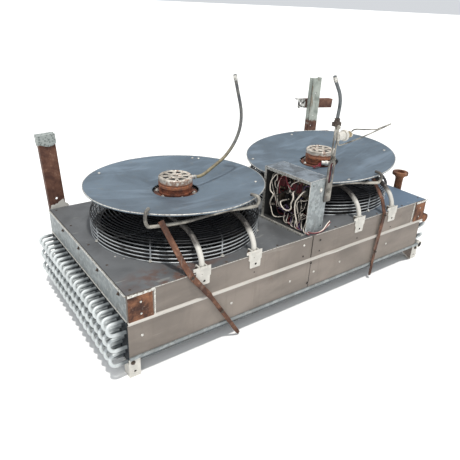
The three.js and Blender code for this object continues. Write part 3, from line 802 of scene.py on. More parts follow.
# ---- stage and cords -------------------------------------------------------------------------
class COOLER_OT_stage(bpy.types.Operator):
    """Floor, soft lights and the camera."""

    bl_idname = "cooler.stage"
    bl_label = "Stage"

    def execute(self, context):
        scene = context.scene
        scene.view_settings.view_transform = "Standard"
        floor = bpy.data.objects.new("floor", bpy.data.meshes.new("floor"))
        half = 300
        floor.data.from_pydata([(-half, -half, 0), (half, -half, 0), (half, half, 0), (-half, half, 0)], [],
                               [(0, 1, 2, 3)])
        floor.data.materials.append(finish("floor_board"))
        scene.collection.objects.link(floor)

        world = bpy.data.worlds.new("studio")
        scene.world = world
        world.use_nodes = True
        background = world.node_tree.nodes["Background"]
        background.inputs["Color"].default_value = (0.93, 0.96, 1.0, 1)
        background.inputs["Strength"].default_value = 0.72

        lamp = bpy.data.lights.new("overhead", "SUN")
        lamp.energy = 2.5
        lamp.angle = math.radians(3.5)
        lamp.color = (1.0, 0.98, 0.94)
        overhead = bpy.data.objects.new("overhead", lamp)
        overhead.rotation_euler = Vector((0.10, 0.24, -1)).to_track_quat("-Z", "Y").to_euler()
        scene.collection.objects.link(overhead)

        front = bpy.data.lights.new("front softbox", "AREA")
        front.energy = 36
        front.size = 3.5
        softbox = bpy.data.objects.new("front softbox", front)
        softbox.location = (-2.6, -3.6, 2.2)
        softbox.rotation_euler = Vector((2.4, 3.4, -1.7)).to_track_quat("-Z", "Y").to_euler()
        scene.collection.objects.link(softbox)

        yaw, pitch, roll = 0.6439, 0.4532, 0.0478
        ahead = Vector((math.sin(yaw) * math.cos(pitch), math.cos(yaw) * math.cos(pitch), -math.sin(pitch)))
        level = ahead.cross(Vector((0, 0, 1))).normalized()
        above = level.cross(ahead)
        right = level * math.cos(roll) + above * math.sin(roll)
        up = above * math.cos(roll) - level * math.sin(roll)
        data = bpy.data.cameras.new("camera")
        data.sensor_width = 36
        data.lens = 36.659
        data.clip_end = 1000
        camera = bpy.data.objects.new("camera", data)
        place = Matrix((right, up, -ahead)).transposed().to_4x4()
        place.translation = metres((-571.7, -1390.1, 1300.7))
        camera.matrix_world = place
        scene.collection.objects.link(camera)
        scene.camera = camera
        return {"FINISHED"}


def length_of(line):
    return sum((b - a).length for a, b in zip(line, line[1:]))


class COOLER_OT_cords(bpy.types.Operator):
    """The motor's supply cable and the box's conduit, held from above by their end fittings."""

    bl_idname = "cooler.cords"
    bl_label = "Cable and conduit"

    def execute(self, context):
        x = FANS["1"]["x"]
        self.lay("motor_cable", [(x + a, FAN_Y + b, DECK + c) for a, b, c in MOTOR_CABLE], CORD_R,
                 "cable_sheath", "motor_cable_clamp")
        self.lay("box_conduit", [Vector(CONDUIT_START) + Vector(p) for p in BOX_CONDUIT], CORD_R,
                 "conduit_sheath", "box_conduit_clamp")
        return {"FINISHED"}

    def lay(self, name, route, radius, material, clamp_name):
        line = curve_through(route, 4)
        cord = Shape().sweep(line, radius, 14).make(name + "_sheath", material, slot="cable_sheath",
                                                    replaces=[name])
        away = (line[-1] - line[-4]).normalized()
        clamp = Shape()
        clamp.sweep([line[-1] - away * 26, line[-1] - away * 24, line[-1] - away * 4, line[-1] - away * 2],
                    lambda t: radius + (0.4 if t in (0, 1) else 1.6), 16)
        piece = clamp.make(clamp_name, "zinc_screw", slot="galvanised")
        path = [metres(p) for p in line]
        length_of(path)


# ---- casing ----------------------------------------------------------------------------------
def front_sheet(x0, x1, low, high, skew, lip, seed):
    """A sheet against the front, gently warped, whose lower edge may roll out into a lip."""
    shape = Shape()
    columns = max(2, int((x1 - x0) / 9.0))
    points = []
    for i in range(columns + 1):
        x = x0 + (x1 - x0) * i / columns
        outline = []
        if lip:
            bulge = math.exp(-(((x - 1157) / 52) ** 2))
            drop = 3.0 * bulge
            curve = [(0.6, SPLIT + 22), (0.0, SPLIT + 15), (-3.5 - 3 * bulge, SPLIT + 12.5),
                     (-7.2 - 5 * bulge, SPLIT + 9.5 + drop), (-8.2 - 6 * bulge, SPLIT + 5 + drop),
                     (-7.4 - 7 * bulge, SPLIT + 1.6 + drop), (-5.0 - 7 * bulge, SPLIT + 0.4 + drop)]
            outline += [(0.0, high), (0.3, (high + SPLIT + 22) / 2)] + curve
            inner = [(y + 2.0, z + 1.2) for y, z in curve[::-1]]
            outline += inner + [(2.2, high)]
        else:
            steps = 7
            outline += [(0.0, high + (low - high) * k / steps) for k in range(steps + 1)]
            outline += [(2.0, low + (high - low) * k / steps) for k in range(steps + 1)]
        for y, z in outline:
            warp = noise.noise(Vector((x / 170, z / 90, seed))) * skew
            points.append((x, y + warp * min(1, (high - z) / 30), z))
    size = len(points) // (columns + 1)
    faces = [(i * size + k, i * size + (k + 1) % size, (i + 1) * size + (k + 1) % size, (i + 1) * size + k)
             for i in range(columns) for k in range(size)]
    faces += [tuple(range(size)), tuple(range(columns * size, (columns + 1) * size))]
    return shape.add(points, faces)


class COOLER_OT_casing(bpy.types.Operator):
    """Sheet casing: deck, folded panels, patches, end strips and their screws."""

    bl_idname = "cooler.casing"
    bl_label = "Casing"

    def execute(self, context):
        for node, name in (("deck_left", "deck_sheet"), ("deck_right", "deck_sheet"),
                           ("rear_upper", "panel_sheet"),
                           ("rear_lower", "panel_sheet"), ("end_upper_right", "galvanised"),
                           ("fin_pack", "fin_stack")):
            coat(node, name)
        upper, lower = (SPLIT, DECK, 0.9, True), (0, SPLIT - 0.3, 0.8, False)
        sheets = [("upper", "left", 0, SEAM - 0.3, upper), ("upper", "right", SEAM + 0.3, LENGTH, upper),
                  ("lower", "left", 0, SEAM + 5.7, lower), ("lower", "right", SEAM + 6.3, LENGTH - 12, lower)]
        for seed, (level, side, x0, x1, rest) in enumerate(sheets, 1):
            front_sheet(x0, x1, *rest, float(seed)).make(
                f"{level}_front_{side}", "panel_sheet", slot="weathered_steel",
                replaces=[f"front_{level}_{side}"])
        self.seams()
        self.patches()
        self.end_strip()
        self.rivets()
        return {"FINISHED"}

    def seams(self):
        joint = Shape()
        joint.block((SEAM - 1.2, -0.9, SPLIT + 18), (SEAM + 1.2, 0.4, DECK - 1))
        joint.block((SEAM + 4.8, -0.9, 2), (SEAM + 7.2, 0.4, SPLIT - 4))
        joint.make("front_seam_gap", "dark_hole", slot="weathered_steel")
        cover = Shape()
        cover.block((SEAM + 3, -1.8, SPLIT + 17), (SEAM + 27, -0.6, DECK - 0.5))
        cover.make("front_seam_flange", "panel_sheet", slot="weathered_steel", bevel=0.5)
        edge = Shape()
        for x0, x1, seed in ((114, 974, 5), (1000, 1822, 6)):
            line = [(x, -1.0 + 0.3 * math.sin(x / 37),
                     DECK - 1.2 + 0.5 * noise.noise(Vector((x / 40, 0, seed))))
                    for x in range(x0, x1, 14)]
            edge.sweep(line, 1.7, 6)
        edge.make("front_top_hem", "zinc_screw", slot="weathered_steel")

    def patches(self):
        for side, x0, x1, node, seed in (("left", 5, 113, "corner_patch_left", 11),
                                         ("right", LENGTH - 92, LENGTH + 4, "corner_patch_right", 12)):
            middle = (x0 + x1) / 2
            outline = [(x0, 170.5)] + jagged((x1, 170.5), (x1 - 3, 286), 3, 9, seed)
            outline += jagged((x1 - 4, 290), (x0, 292), 5, 12, seed + 1)
            holes = [hole(middle, z, 7, 14) for z in (196, 251)]
            Shape().plate(outline, 3, holes, upright(-3.3)).make(
                "patch_" + side, "rusty_steel", slot="rusty_steel", replaces=[node], bevel=0.4)
            back = Shape()
            for z in (196, 251):
                puck(back, (middle, -0.35, z), (0, -1, 0), 8.5, 0.5, 16)
            back.make(f"patch_{side}_hole_backs", "dark_hole", slot="rusty_steel")
            plugs = Shape()
            for z in (196, 251):
                dome(plugs, (middle + 1, -0.9, z - 1), (0, -1, 0), 5.6, 1.6)
            plugs.make(f"patch_{side}_bolt_ends", "zinc_screw", slot="rusty_steel")
            torn = Shape()
            torn.plate([(x0 - 1, 284)] + [(x1 + 6, 286), (x1 + 7, 297)]
                       + jagged((x1, 299), (x0 - 2, 298), 5, 16, seed + 3), 1.2, (), upright(-4.8))
            torn.make(f"patch_{side}_torn_flange", "zinc_screw", slot="galvanised")
        strip = Shape()
        strip.plate(jagged((116, 171), (122, 171), 1, 2, 3) + jagged((124, 292), (117, 290), 2, 3, 4), 1.0,
                    (),
                    upright(-1.6))
        strip.plate([(1801, 171), (1808, 171), (1811, 290), (1803, 291)], 1.0, (), upright(-1.6))
        strip.make("patch_weld_lines", "zinc_screw", slot="galvanised")

    def end_strip(self):
        strip = Shape()
        strip.block((-1.6, 2.4, 176), (0.4, WIDTH - 2.4, 288))
        strip.make("end_sheet_left", "galvanised", slot="galvanised", replaces=["end_upper_left"], bevel=0.5)
        hem = Shape()
        line = [(-2.8, y, 293 + 1.0 * noise.noise(Vector((y / 50, 1, 2)))) for y in range(3, int(WIDTH), 12)]
        hem.sweep(line, 4.2, 8)
        hem.make("end_hem_left", "zinc_screw", slot="galvanised")
        low = Shape()
        line = [(-3.0, y, 177 + 0.8 * noise.noise(Vector((y / 60, 5, 1)))) for y in range(3, int(WIDTH), 14)]
        low.sweep(line, 2.6, 6)
        low.make("end_edge_left", "zinc_screw", slot="galvanised")
        screws = Shape()
        for y, z in ((717, 268), (500, 270), (277, 270), (64, 272)):
            hex_bolt(screws, (-1.8, y, z), (-1, 0, 0), 6, 4, 9)
        for y in (140, 380, 610, 840):
            hex_bolt(screws, (LENGTH + 0.2, y, 268), (1, 0, 0), 6, 4, 9)
        screws.make("end_screws", "old_screw", slot="galvanised")

    def rivets(self):
        bright = Shape()
        for x, z in ((924, 258), (1017, 82), (1210, 83), (855, 76), (60, 90), (500, 80), (1600, 85)):
            dome(bright, (x, 0.3, z), (0, -1, 0), 6.5, 3.4)
        bright.make("front_rivets", "zinc_screw", slot="galvanised")
        dark = Shape()
        for x, z, r in ((925, 197, 5), (1034, 259, 6), (1037, 198, 4), (988, 140, 6), (979, 27, 7),
                        (1606, 192, 4), (1323, 194, 4), (344, 205, 4), (620, 205, 3)):
            puck(dark, (x, -0.2, z), (0, -1, 0), r, 0.7, 14)
        dark.make("front_bolt_holes", "dark_hole", slot="weathered_steel")
        rim = Shape()
        for x, z, r in ((1034, 259, 6), (979, 27, 7), (925, 197, 5), (988, 140, 6)):
            rim.sweep([(x + (r + 1.2) * math.cos(a), -0.6, z + (r + 1.2) * math.sin(a))
                       for a in (2 * math.pi * k / 18 for k in range(18))], 1.2, 6, closed=True, up=(0, 1, 0))
        rim.make("front_hole_rims", "panel_sheet", slot="weathered_steel")
        deck = Shape()
        for x, y in ((30, 30), (30, 250), (30, 460), (30, 690), (28, 905), (250, 16), (470, 12), (760, 14),
                     (1000, 200), (1000, 760), (1150, 14), (1480, 16), (1700, 14), (1890, 40), (1890, 300),
                     (1890, 620), (1890, 900), (300, 918), (700, 918), (1250, 918), (1650, 918)):
            dome(deck, (x, y, DECK), (0, 0, 1), 5.5, 3)
        deck.make("deck_screws", "old_screw", slot="galvanised")
        marks = Shape()
        for x, y, r in ((88, 300, 5), (112, 265, 4)):
            dome(marks, (x, y, DECK - 0.2), (0, 0, 1), r, 1.6)
        marks.make("deck_drips", "zinc_screw", slot="galvanised")


class COOLER_OT_footing(bpy.types.Operator):
    """Bottom rails and the angle-iron feet."""

    bl_idname = "cooler.footing"
    bl_label = "Rails and feet"

    def execute(self, context):
        for where in ("front", "rear"):
            coat(f"bottom_rail_{where}", "galvanised")
            coat(f"foot_{where}_left", "white_zinc")
            coat(f"foot_{where}_right", "white_zinc")
        self.gussets()
        bolts = Shape()
        for y, way in ((-0.1, -1), (WIDTH + 0.1, 1)):
            for x in (14, LENGTH + 6):
                hex_bolt(bolts, (x, y, -30), (0, way, 0), 7, 5, 10)
        bolts.make("foot_bolts", "old_screw", slot="galvanised")
        return {"FINISHED"}

    def gussets(self):
        for name, y in (("front", -0.5), ("rear", WIDTH + 0.1)):
            web = Shape()
            web.plate([(1784, -15), (1892, -15), (1892, -99), (1886, -99)], 0.5, (), upright(y))
            web.make(f"gusset_shade_{name}", "old_screw", slot="white_zinc")


# ---- coil ------------------------------------------------------------------------------------
def row_height(row):
    return TOP_ROW - ROW_PITCH * row


def column_place(row, column):
    return FIRST_COLUMN + (0 if row % 2 else COLUMN_PITCH / 2) + COLUMN_PITCH * column


class COOLER_OT_coil(bpy.types.Operator):
    """Return bends, tube sheets, headers and the flanged riser."""

    bl_idname = "cooler.coil"
    bl_label = "Coil"

    def execute(self, context):
        r = context.scene.cooler_sizes.tube_thickness * 500
        self.coil_end("left", -1, 0, r)
        self.coil_end("right", 1, 1, r)
        self.headers(r)
        return {"FINISHED"}

    def coil_end(self, side, way, first_row, r):
        pick = random.Random(20 + way)
        root = 2.0 if way < 0 else LENGTH - 2.0
        plate = Shape()
        plate.block((root - 1.6, 6, -34), (root + 1.6, WIDTH - 6, TOP_ROW + 12))
        plate.make(f"tube_plate_{side}", "tube_plate", slot="coil_tube", bevel=0.4,
                   replaces=[f"tube_sheet_{side}"])
        bends = Shape()
        collars = Shape()
        for row in range(first_row, 5, 2):
            for column in range(COLUMNS):
                a = Vector((column_place(row, column), row_height(row)))
                b = Vector((column_place(row + 1, column), row_height(row + 1)))
                middle, arm = (a + b) / 2, (a - b) / 2
                radius = arm.length
                reach = BEND_REACH - r - radius + pick.uniform(-2.5, 0.0)
                tilt = pick.uniform(-1.6, 1.6)
                line = [(root, a.x, a.y), (root + way * reach * 0.5, a.x + tilt * 0.3, a.y)]
                for k in range(11):
                    angle = math.pi * k / 10
                    p = middle + arm * math.cos(angle)
                    line.append((root + way * (reach + radius * math.sin(angle)), p.x + tilt, p.y))
                line += [(root + way * reach * 0.5, b.x + tilt * 0.3, b.y), (root, b.x, b.y)]
                bends.sweep(line, r, 10)
                for p in (a, b):
                    collars.turned([(r + 0.2, 0), (r + 3.2, 0), (r + 1.8, 5), (r + 0.2, 5)], 12,
                                   facing((root + way * 1.5, p.x, p.y), (way, 0, 0)))
        bends.make(f"return_bends_{side}", "coil_tube", slot="coil_tube")
        collars.make(f"bend_collars_{side}", "tube_plate", slot="coil_tube")

    def headers(self, r):
        x, root = LENGTH + 50, LENGTH - 1.0
        inlet = Shape()
        line = [(x, y, TOP_ROW) for y in (4, 6, 60, WIDTH / 2, WIDTH - 60, WIDTH - 10, WIDTH - 8)]
        inlet.sweep(line, lambda t: 26 if 0 < t < 1 else 21, 24)
        for column in range(COLUMNS):
            y = column_place(0, column)
            inlet.sweep([(root, y, TOP_ROW), (x - 40, y, TOP_ROW), (x - 22, y, TOP_ROW)], r, 10)
        foot = facing((x, 238, TOP_ROW), (0, 0, 1))
        inlet.turned([(0, 10), (31, 10), (27, 30), (24, 36), (24, 182), (26, 192), (31, 198), (32, 209),
                      (48, 209), (48, 225), (46.5, 227), (26, 227), (26, 212), (0, 212)], 32, foot)
        inlet.make("inlet_header", "rusty_steel", slot="rusty_steel", replaces=["header_inlet"], bevel=0.6)
        outlet = Shape()
        x += 6
        z = row_height(5)
        outlet.sweep([(x, y, z) for y in (4, 4.6, 40, WIDTH / 2, WIDTH - 40, WIDTH - 8)],
                     lambda t: 19.5 if t == 0 else 21, 24)
        for column in range(COLUMNS):
            y = column_place(5, column)
            outlet.sweep([(root, y, z), (x - 30, y, z), (x - 18, y, z)], r, 10)
        outlet.make("outlet_header", "white_zinc", slot="galvanised", replaces=["header_outlet"])
        mouth = Shape()
        puck(mouth, (x, 4.0, z), (0, -1, 0), 15.5, 0.6, 20)
        mouth.make("outlet_mouth", "dark_hole", slot="galvanised")


# ---- fans ------------------------------------------------------------------------------------
def fan_place(n):
    return Matrix.Translation((FANS[n]["x"], FAN_Y, DECK))


class COOLER_OT_guards(bpy.types.Operator):
    """Bell mouths and wire guards."""

    bl_idname = "cooler.guards"
    bl_label = "Bell mouths and guards"

    def execute(self, context):
        sizes = context.scene.cooler_sizes
        for n in FANS:
            self.bell(n)
            self.cage(n, sizes.wire_thickness * 500, sizes.ring_pitch * 1000)
        return {"FINISHED"}

    def bell(self, n):
        r = BELL_R
        mouth = Shape(fan_place(n))
        mouth.turned([(r, -45), (r + 2.4, -45), (r + 2.4, -8), (r + 4.5, -2), (r + 9, 0.4), (r + 32, 0.4),
                      (r + 32, 2.8), (r + 9, 2.8), (r + 5, 5), (r + 2.4, 12), (r + 2.4, 30), (r, 30)], 96)
        # The bell mouth is made near black: painted shade under the cover disc, behind the guard's rings.
        mouth.make(f"bell_ring_{n}", "dark_sheet", slot="galvanised", replaces=[f"bell_mouth_{n}"])

    def cage(self, n, wire, pitch):
        cage = Shape(fan_place(n))
        sides = int((86 - 4) / pitch)
        loops = [(GUARD_R, 3.5 + pitch * k) for k in range(sides + 1)]
        for k in range(1, 5):
            a = math.pi / 2 * k / 4
            loops.append((GUARD_R - 30 + 30 * math.cos(a), 82 + 28 * math.sin(a)))
        r = GUARD_R - 30 - pitch
        while r > 148:
            loops.append((r, 110 + 1.5 * (GUARD_R - r) / 260))
            r -= pitch
        for r, z in loops:
            wobble = 0.8 * noise.noise(Vector((r / 9, z / 9, int(n))))
            line = [(r * math.cos(a), r * math.sin(a), z + wobble * math.sin(2 * a))
                    for a in (2 * math.pi * k / 72 for k in range(72))]
            cage.sweep(line, wire, 6, closed=True, up=(0, 0, 1))
        cage.turned([(140, 108), (150, 108), (150, 111), (140, 111)], 48)
        for k in range(GUARD_RIBS):
            turn = Matrix.Rotation(2 * math.pi * k / GUARD_RIBS, 4, "Z")
            line = curve_through([(GUARD_R - 5, 0, 0.5), (GUARD_R - 5, 0, 40), (GUARD_R - 5, 0, 76),
                                  (GUARD_R - 10, 0, 96), (GUARD_R - 32, 0, 106), (300, 0, 107),
                                  (145, 0, 107)], 4)
            cage.sweep(line, 3.4, 8, matrix=turn, up=(0, 1, 0))
        cage.make(f"wire_guard_{n}", "guard_wire", slot="black_wire", replaces=[f"guard_{n}"])
        tabs = Shape(fan_place(n))
        bolts = Shape(fan_place(n))
        for k in range(GUARD_RIBS):
            turn = Matrix.Rotation(2 * math.pi * k / GUARD_RIBS, 4, "Z")
            tabs.block((GUARD_R - 14, -9, 0.4), (GUARD_R + 5, 9, 3.4), turn)
            spot = turn @ Vector((GUARD_R - 1, 0, 3.2))
            hex_bolt(bolts, spot, (0, 0, 1), 7, 6, 10)
        tabs.make(f"guard_tabs_{n}", "dark_sheet", slot="black_wire", bevel=0.5)
        bolts.make(f"guard_bolts_{n}", "zinc_screw", slot="galvanised")


class COOLER_OT_rotors(bpy.types.Operator):
    """Hubs and pitched blades, which spin."""

    bl_idname = "cooler.rotors"
    bl_label = "Rotors"

    def execute(self, context):
        count = context.scene.cooler_sizes.blade_count
        for n in FANS:
            rotor = Shape(fan_place(n))
            rotor.turned([(0, -28), (70, -28), (HUB_R - 8, -26), (HUB_R - 1, -18), (HUB_R, -10), (HUB_R, 30),
                          (HUB_R - 5, 34), (30, 34), (26, 38), (12, 38), (12, 99), (0, 99)], 64)
            for k in range(count):
                self.blade(rotor, Matrix.Rotation(2 * math.pi * k / count, 4, "Z"))
            rotor.make(f"rotor_{n}", "fan_black", body=f"fan_{n}", slot="rotor_black",
                       replaces=[f"fan_rotor_{n}"])
        return {"FINISHED"}

    def blade(self, rotor, turn):
        """A sickle blade: twisted sections from hub to tip, 3 mm thick."""
        across, along = 12, 12
        points = []
        for layer in (-1.4, 1.4):
            for j in range(along + 1):
                t = j / along
                r = 84 + (BLADE_R - 84) * t
                pitch = math.radians(38 - 13 * t)
                chord = 118 + 120 * t - 26 * t * t
                sweep_back = 26 * math.sin(math.pi * t) - 10 * t
                for i in range(across + 1):
                    s = i / across - 0.5
                    c = s * chord * (1 - 0.10 * (2 * abs(s)) ** 4 * t)
                    camber = 9 * (1 - 4 * s * s)
                    y = c * math.cos(pitch) - camber * math.sin(pitch) + sweep_back
                    z = c * math.sin(pitch) + (camber + layer) * math.cos(pitch) - 4
                    reach = math.sqrt(max(0.0, r * r - y * y)) if t > 0.7 else r - abs(y) * 0.06
                    points.append((reach, y, max(-54, min(62, z))))
        rotor.add(points, sheet_faces(across, along), turn)


class COOLER_OT_motors(bpy.types.Operator):
    """Motor bodies, slotted end caps and their carrying plates."""

    bl_idname = "cooler.motors"
    bl_label = "Motors"

    def execute(self, context):
        for n in FANS:
            place = fan_place(n)
            self.body(n, place)
            self.cap(n, place)
            self.cradle(n, place)
        self.side_gland(fan_place("2"))
        return {"FINISHED"}

    def side_gland(self, place):
        """The second motor's leads come out low on the body, through a pale elbow."""
        elbow = Shape(place)
        way = facing((-62, -78, 193), (0.82, -0.57, -0.04))
        elbow.turned([(0, 0), (13, 0), (13, 20), (16, 21), (16, 36), (13, 37), (13, 50), (0, 50)], 18, way)
        elbow.make("motor_2_lead_gland", "zinc_screw", slot="cast_cap")
        leads = Shape(place)
        for k in range(4):
            leads.sweep(curve_through([(-62, -76, 193 - 3 * k), (-84, -80 - 3 * k, 190 - 4 * k),
                                       (-104 - 5 * k, -92 + 8 * k, 184 - 2 * k),
                                       (-126, -70 - 9 * k, 180 - k)], 6),
                        2.6, 6)
        leads.make("motor_2_leads", "wire_red", slot="cast_cap")

    def body(self, n, place):
        r = MOTOR_R
        body = Shape(place)
        body.turned([(0, 101), (13, 101), (13, 46), (40, 46), (r - 8, 52), (r - 1, 60), (r - 1, 157),
                     (r - 1, 159.3),
                     (104, 159.3), (104, 164.5), (r, 164.5), (r, 171), (r + 1.6, 172), (r + 1.6, 178),
                     (r, 179),
                     (r, 200), (0, 200)], 72)
        for k in range(24):
            turn = Matrix.Rotation(2 * math.pi * k / 24, 4, "Z")
            body.block((r - 2, -1.6, 64), (r + 1.2, 1.6, 152), turn)
        body.make(f"motor_body_{n}", "motor_paint", slot="motor_body", replaces=[f"motor_{n}"])
        bolts = Shape(place)
        for k in range(6):
            a = math.radians(60 * k + (20 if n == "1" else 45))
            hex_bolt(bolts, (92 * math.cos(a), 92 * math.sin(a), 164.5), (0, 0, 1), 7.5, 6, 10)
        bolts.make(f"motor_flange_bolts_{n}", "zinc_screw", slot="galvanised")

    def cap(self, n, place):
        r = MOTOR_R + 3
        shape = Shape(place)
        shape.turned([(14, 238), (14, 246.5), (20, 249.5), (28, 249.6), (31, 246.5), (36, 245.5),
                      (r - 16, 245),
                      (r - 12, 249), (r - 6, 249), (r - 1, 244), (r, 238), (r, 222), (r - 1.5, 220),
                      (r - 1.5, 215),
                      (r, 213), (r, 202), (r - 2, 200.3), (0, 200.3), (0, 238)], 72)
        for k in range(8):
            turn = Matrix.Rotation(math.radians(45 * k + 22.5), 4, "Z")
            shape.add([(26, -4.5, 244), (r - 9, -6.5, 244), (r - 9, 6.5, 244), (26, 4.5, 244),
                       (27, -3.2, 249.3), (r - 11, -4.8, 249.3), (r - 11, 4.8, 249.3), (27, 3.2, 249.3)],
                      [(0, 3, 2, 1), (4, 5, 6, 7), (0, 1, 5, 4), (1, 2, 6, 5), (2, 3, 7, 6), (3, 0, 4, 7)],
                      turn)
        shape.make(f"end_cap_{n}", "cast_cap", slot="cast_cap", replaces=[f"motor_cap_{n}"], bevel=0.5)
        slots = Shape(place)
        for k in range(8):
            turn = Matrix.Rotation(math.radians(45 * k), 4, "Z")
            slots.add([(36, -7, 0), (60, -15, 0), (64, 0, 0), (60, 15, 0), (36, 7, 0)],
                      [(0, 1, 2, 3, 4)], turn @ Matrix.Translation((0, 0, 245.9)))
        slots.turned([(0, 238.1), (13.5, 238.1), (13.5, 238.8), (0, 238.8)], 24)
        slots.make(f"cap_slots_{n}", "dark_hole", slot="cast_cap")
        gland = Shape(place @ Matrix.Rotation(math.radians(-14), 4, "Z"))
        along = facing((r - 4, 0, 232), (1, 0, 0))
        gland.turned([(0, 0), (11, 0), (11, 9), (9.5, 10), (9.5, 14), (11.5, 15), (11.5, 22), (9.5, 25),
                      (8.6, 26),
                      (0, 26)], 6 if n == "1" else 20, along)
        gland.make(f"cable_gland_{n}", "zinc_screw", slot="cast_cap", bevel=0.4)
        screws = Shape(place)
        for k in range(4):
            a = math.radians(90 * k + 45 + 22)
            dome(screws, ((r - 9) * math.cos(a), (r - 9) * math.sin(a), 248.6), (0, 0, 1), 5, 2.4)
        screws.make(f"cap_screws_{n}", "old_screw", slot="cast_cap")

    def cradle(self, n, place):
        top = ARM_TOP + ARM_R + 0.3
        reach = ARM_SPREAD + 22
        sheet = Shape(place)
        sheet.plate([(-reach, -100), (reach, -100), (reach, 100), (-reach, 100)], 4,
                    [hole(0, 0, MOTOR_R + 1, 48)], Matrix.Translation((0, 0, top)))
        sheet.make(f"carrying_plate_{n}", "dark_sheet", slot="black_wire", replaces=[f"motor_cradle_{n}"],
                   bevel=0.5)
        bolts = Shape(place)
        for x in (-ARM_SPREAD - 17, -ARM_SPREAD + 18, ARM_SPREAD - 18, ARM_SPREAD + 17):
            for y in (-80, 80):
                hex_bolt(bolts, (x, y, top + 4), (0, 0, 1), 6, 5, 9)
        bolts.make(f"carrying_bolts_{n}", "old_screw", slot="black_wire")


class COOLER_OT_covers(bpy.types.Operator):
    """Dished cover discs and the bent rods that hook over their rims."""

    bl_idname = "cooler.covers"
    bl_label = "Cover discs"

    def execute(self, context):
        for n, fan in FANS.items():
            normal = Vector((*fan["tilt"], 1))
            self.disc(n, facing((fan["x"], FAN_Y, DECK + fan["hole"]), normal))
            self.stay(n, fan)
        return {"FINISHED"}

    def disc(self, n, place):
        r, hole, dish = DISC_R, DISC_HOLE_R, DISC_DISH
        seed = int(n) * 3.7

        def dented(radius, angle):
            far = (radius - hole) / (r - hole)
            wave = noise.noise(Vector((1.5 * math.cos(angle), 1.5 * math.sin(angle), seed)))
            ripple = noise.noise(Vector((5 * math.cos(angle), 5 * math.sin(angle), radius / 90 + seed)))
            return far * (2.2 * wave + 0.9 * ripple)

        profile = [(hole, 2.6), (hole + 3, 4.6), (hole + 9, 5.6), (hole + 15, 4.4), (hole + 22, 5.0)]
        profile += [(hole + (r - hole) * t, 2.3 + dish * t + 1.2 * math.sin(math.pi * t))
                    for t in (0.12, 0.2, 0.3, 0.4, 0.5, 0.6, 0.7, 0.8, 0.88, 0.95)]
        profile += [(r - 5, dish + 2.6), (r - 2, dish + 3.0), (r, dish + 1.2), (r, dish - 4.4),
                    (r - 1.4, dish - 5.2),
                    (r - 2.8, dish - 4.2), (r - 3.4, dish - 0.6)]
        profile += [(hole + (r - hole) * t, dish * t + 1.2 * math.sin(math.pi * t))
                    for t in (0.95, 0.8, 0.6, 0.4, 0.2)]
        profile += [(hole + 14, 2.2), (hole + 9, 3.2), (hole + 3.5, 2.4), (hole, 0.3)]
        disc = Shape(place)
        disc.turned(profile, 144, wobble=dented)
        disc.make(f"disc_{n}", "cover_sheet", slot="cover_sheet", replaces=[f"cover_disc_{n}"])
        rim = Shape(place)
        line = [((r - 0.8) * math.cos(a), (r - 0.8) * math.sin(a), dish + 1.6 + dented(r, a))
                for a in (2 * math.pi * k / 144 for k in range(144))]
        rim.sweep(line, 2.2, 6, closed=True, up=(0, 0, 1))
        # The rim is made bright zinc: a painted highlight where the raised rim catches the light.
        rim.make(f"disc_rim_{n}", "zinc_screw", slot="cover_sheet")
        studs = Shape(place)
        spots = {"1": [(327, -208), (-274, 312), (283, 300), (328, 291)],
                 "2": [(-354, 185), (334, -205), (120, 372), (-150, -365)]}[n]
        for x, y in spots:
            away = math.hypot(x, y)
            x, y = x * min(1, 398 / away), y * min(1, 398 / away)
            far = (math.hypot(x, y) - hole) / (r - hole)
            dome(studs, (x, y, 3 + dish * far + dented(math.hypot(x, y), math.atan2(y, x))), (0, 0, 1), 7.5,
                 4.5)
        studs.make(f"disc_rivets_{n}", "zinc_screw", slot="galvanised")

    def stay(self, n, fan):
        reach = DISC_R + 20
        feet = [Vector((reach * math.cos(math.radians(turn)), reach * math.sin(math.radians(turn)), 0))
                for turn, height, rim in fan["stay"]]
        path = []
        for i, (turn, height, rim) in enumerate(fan["stay"]):
            foot = feet[i]
            along, inward = (feet[1 - i] - foot).normalized(), -foot.normalized()

            def at(a, b, z):
                return foot + along * a + inward * b + Vector((0, 0, z))

            half = [at(28, 0, height), at(168, 0, height)]
            if rim:
                hook = [at(0, 42, rim + 15), at(0, 10, rim + 13), at(0, 0, rim - 2)]
                hook += [at(0, 0, height + 28)] if rim - height > 40 else []
                half = hook + [at(7, 0, height + 8)] + half
            path += half[::-1] if i else half
        rod = Shape(fan_place(n))
        rod.sweep(curve_through(path, 6), 7.6, 12)
        rod.make(f"stay_rod_{n}", "stay_bar", slot="galvanised", replaces=[f"disc_stay_{n}"])


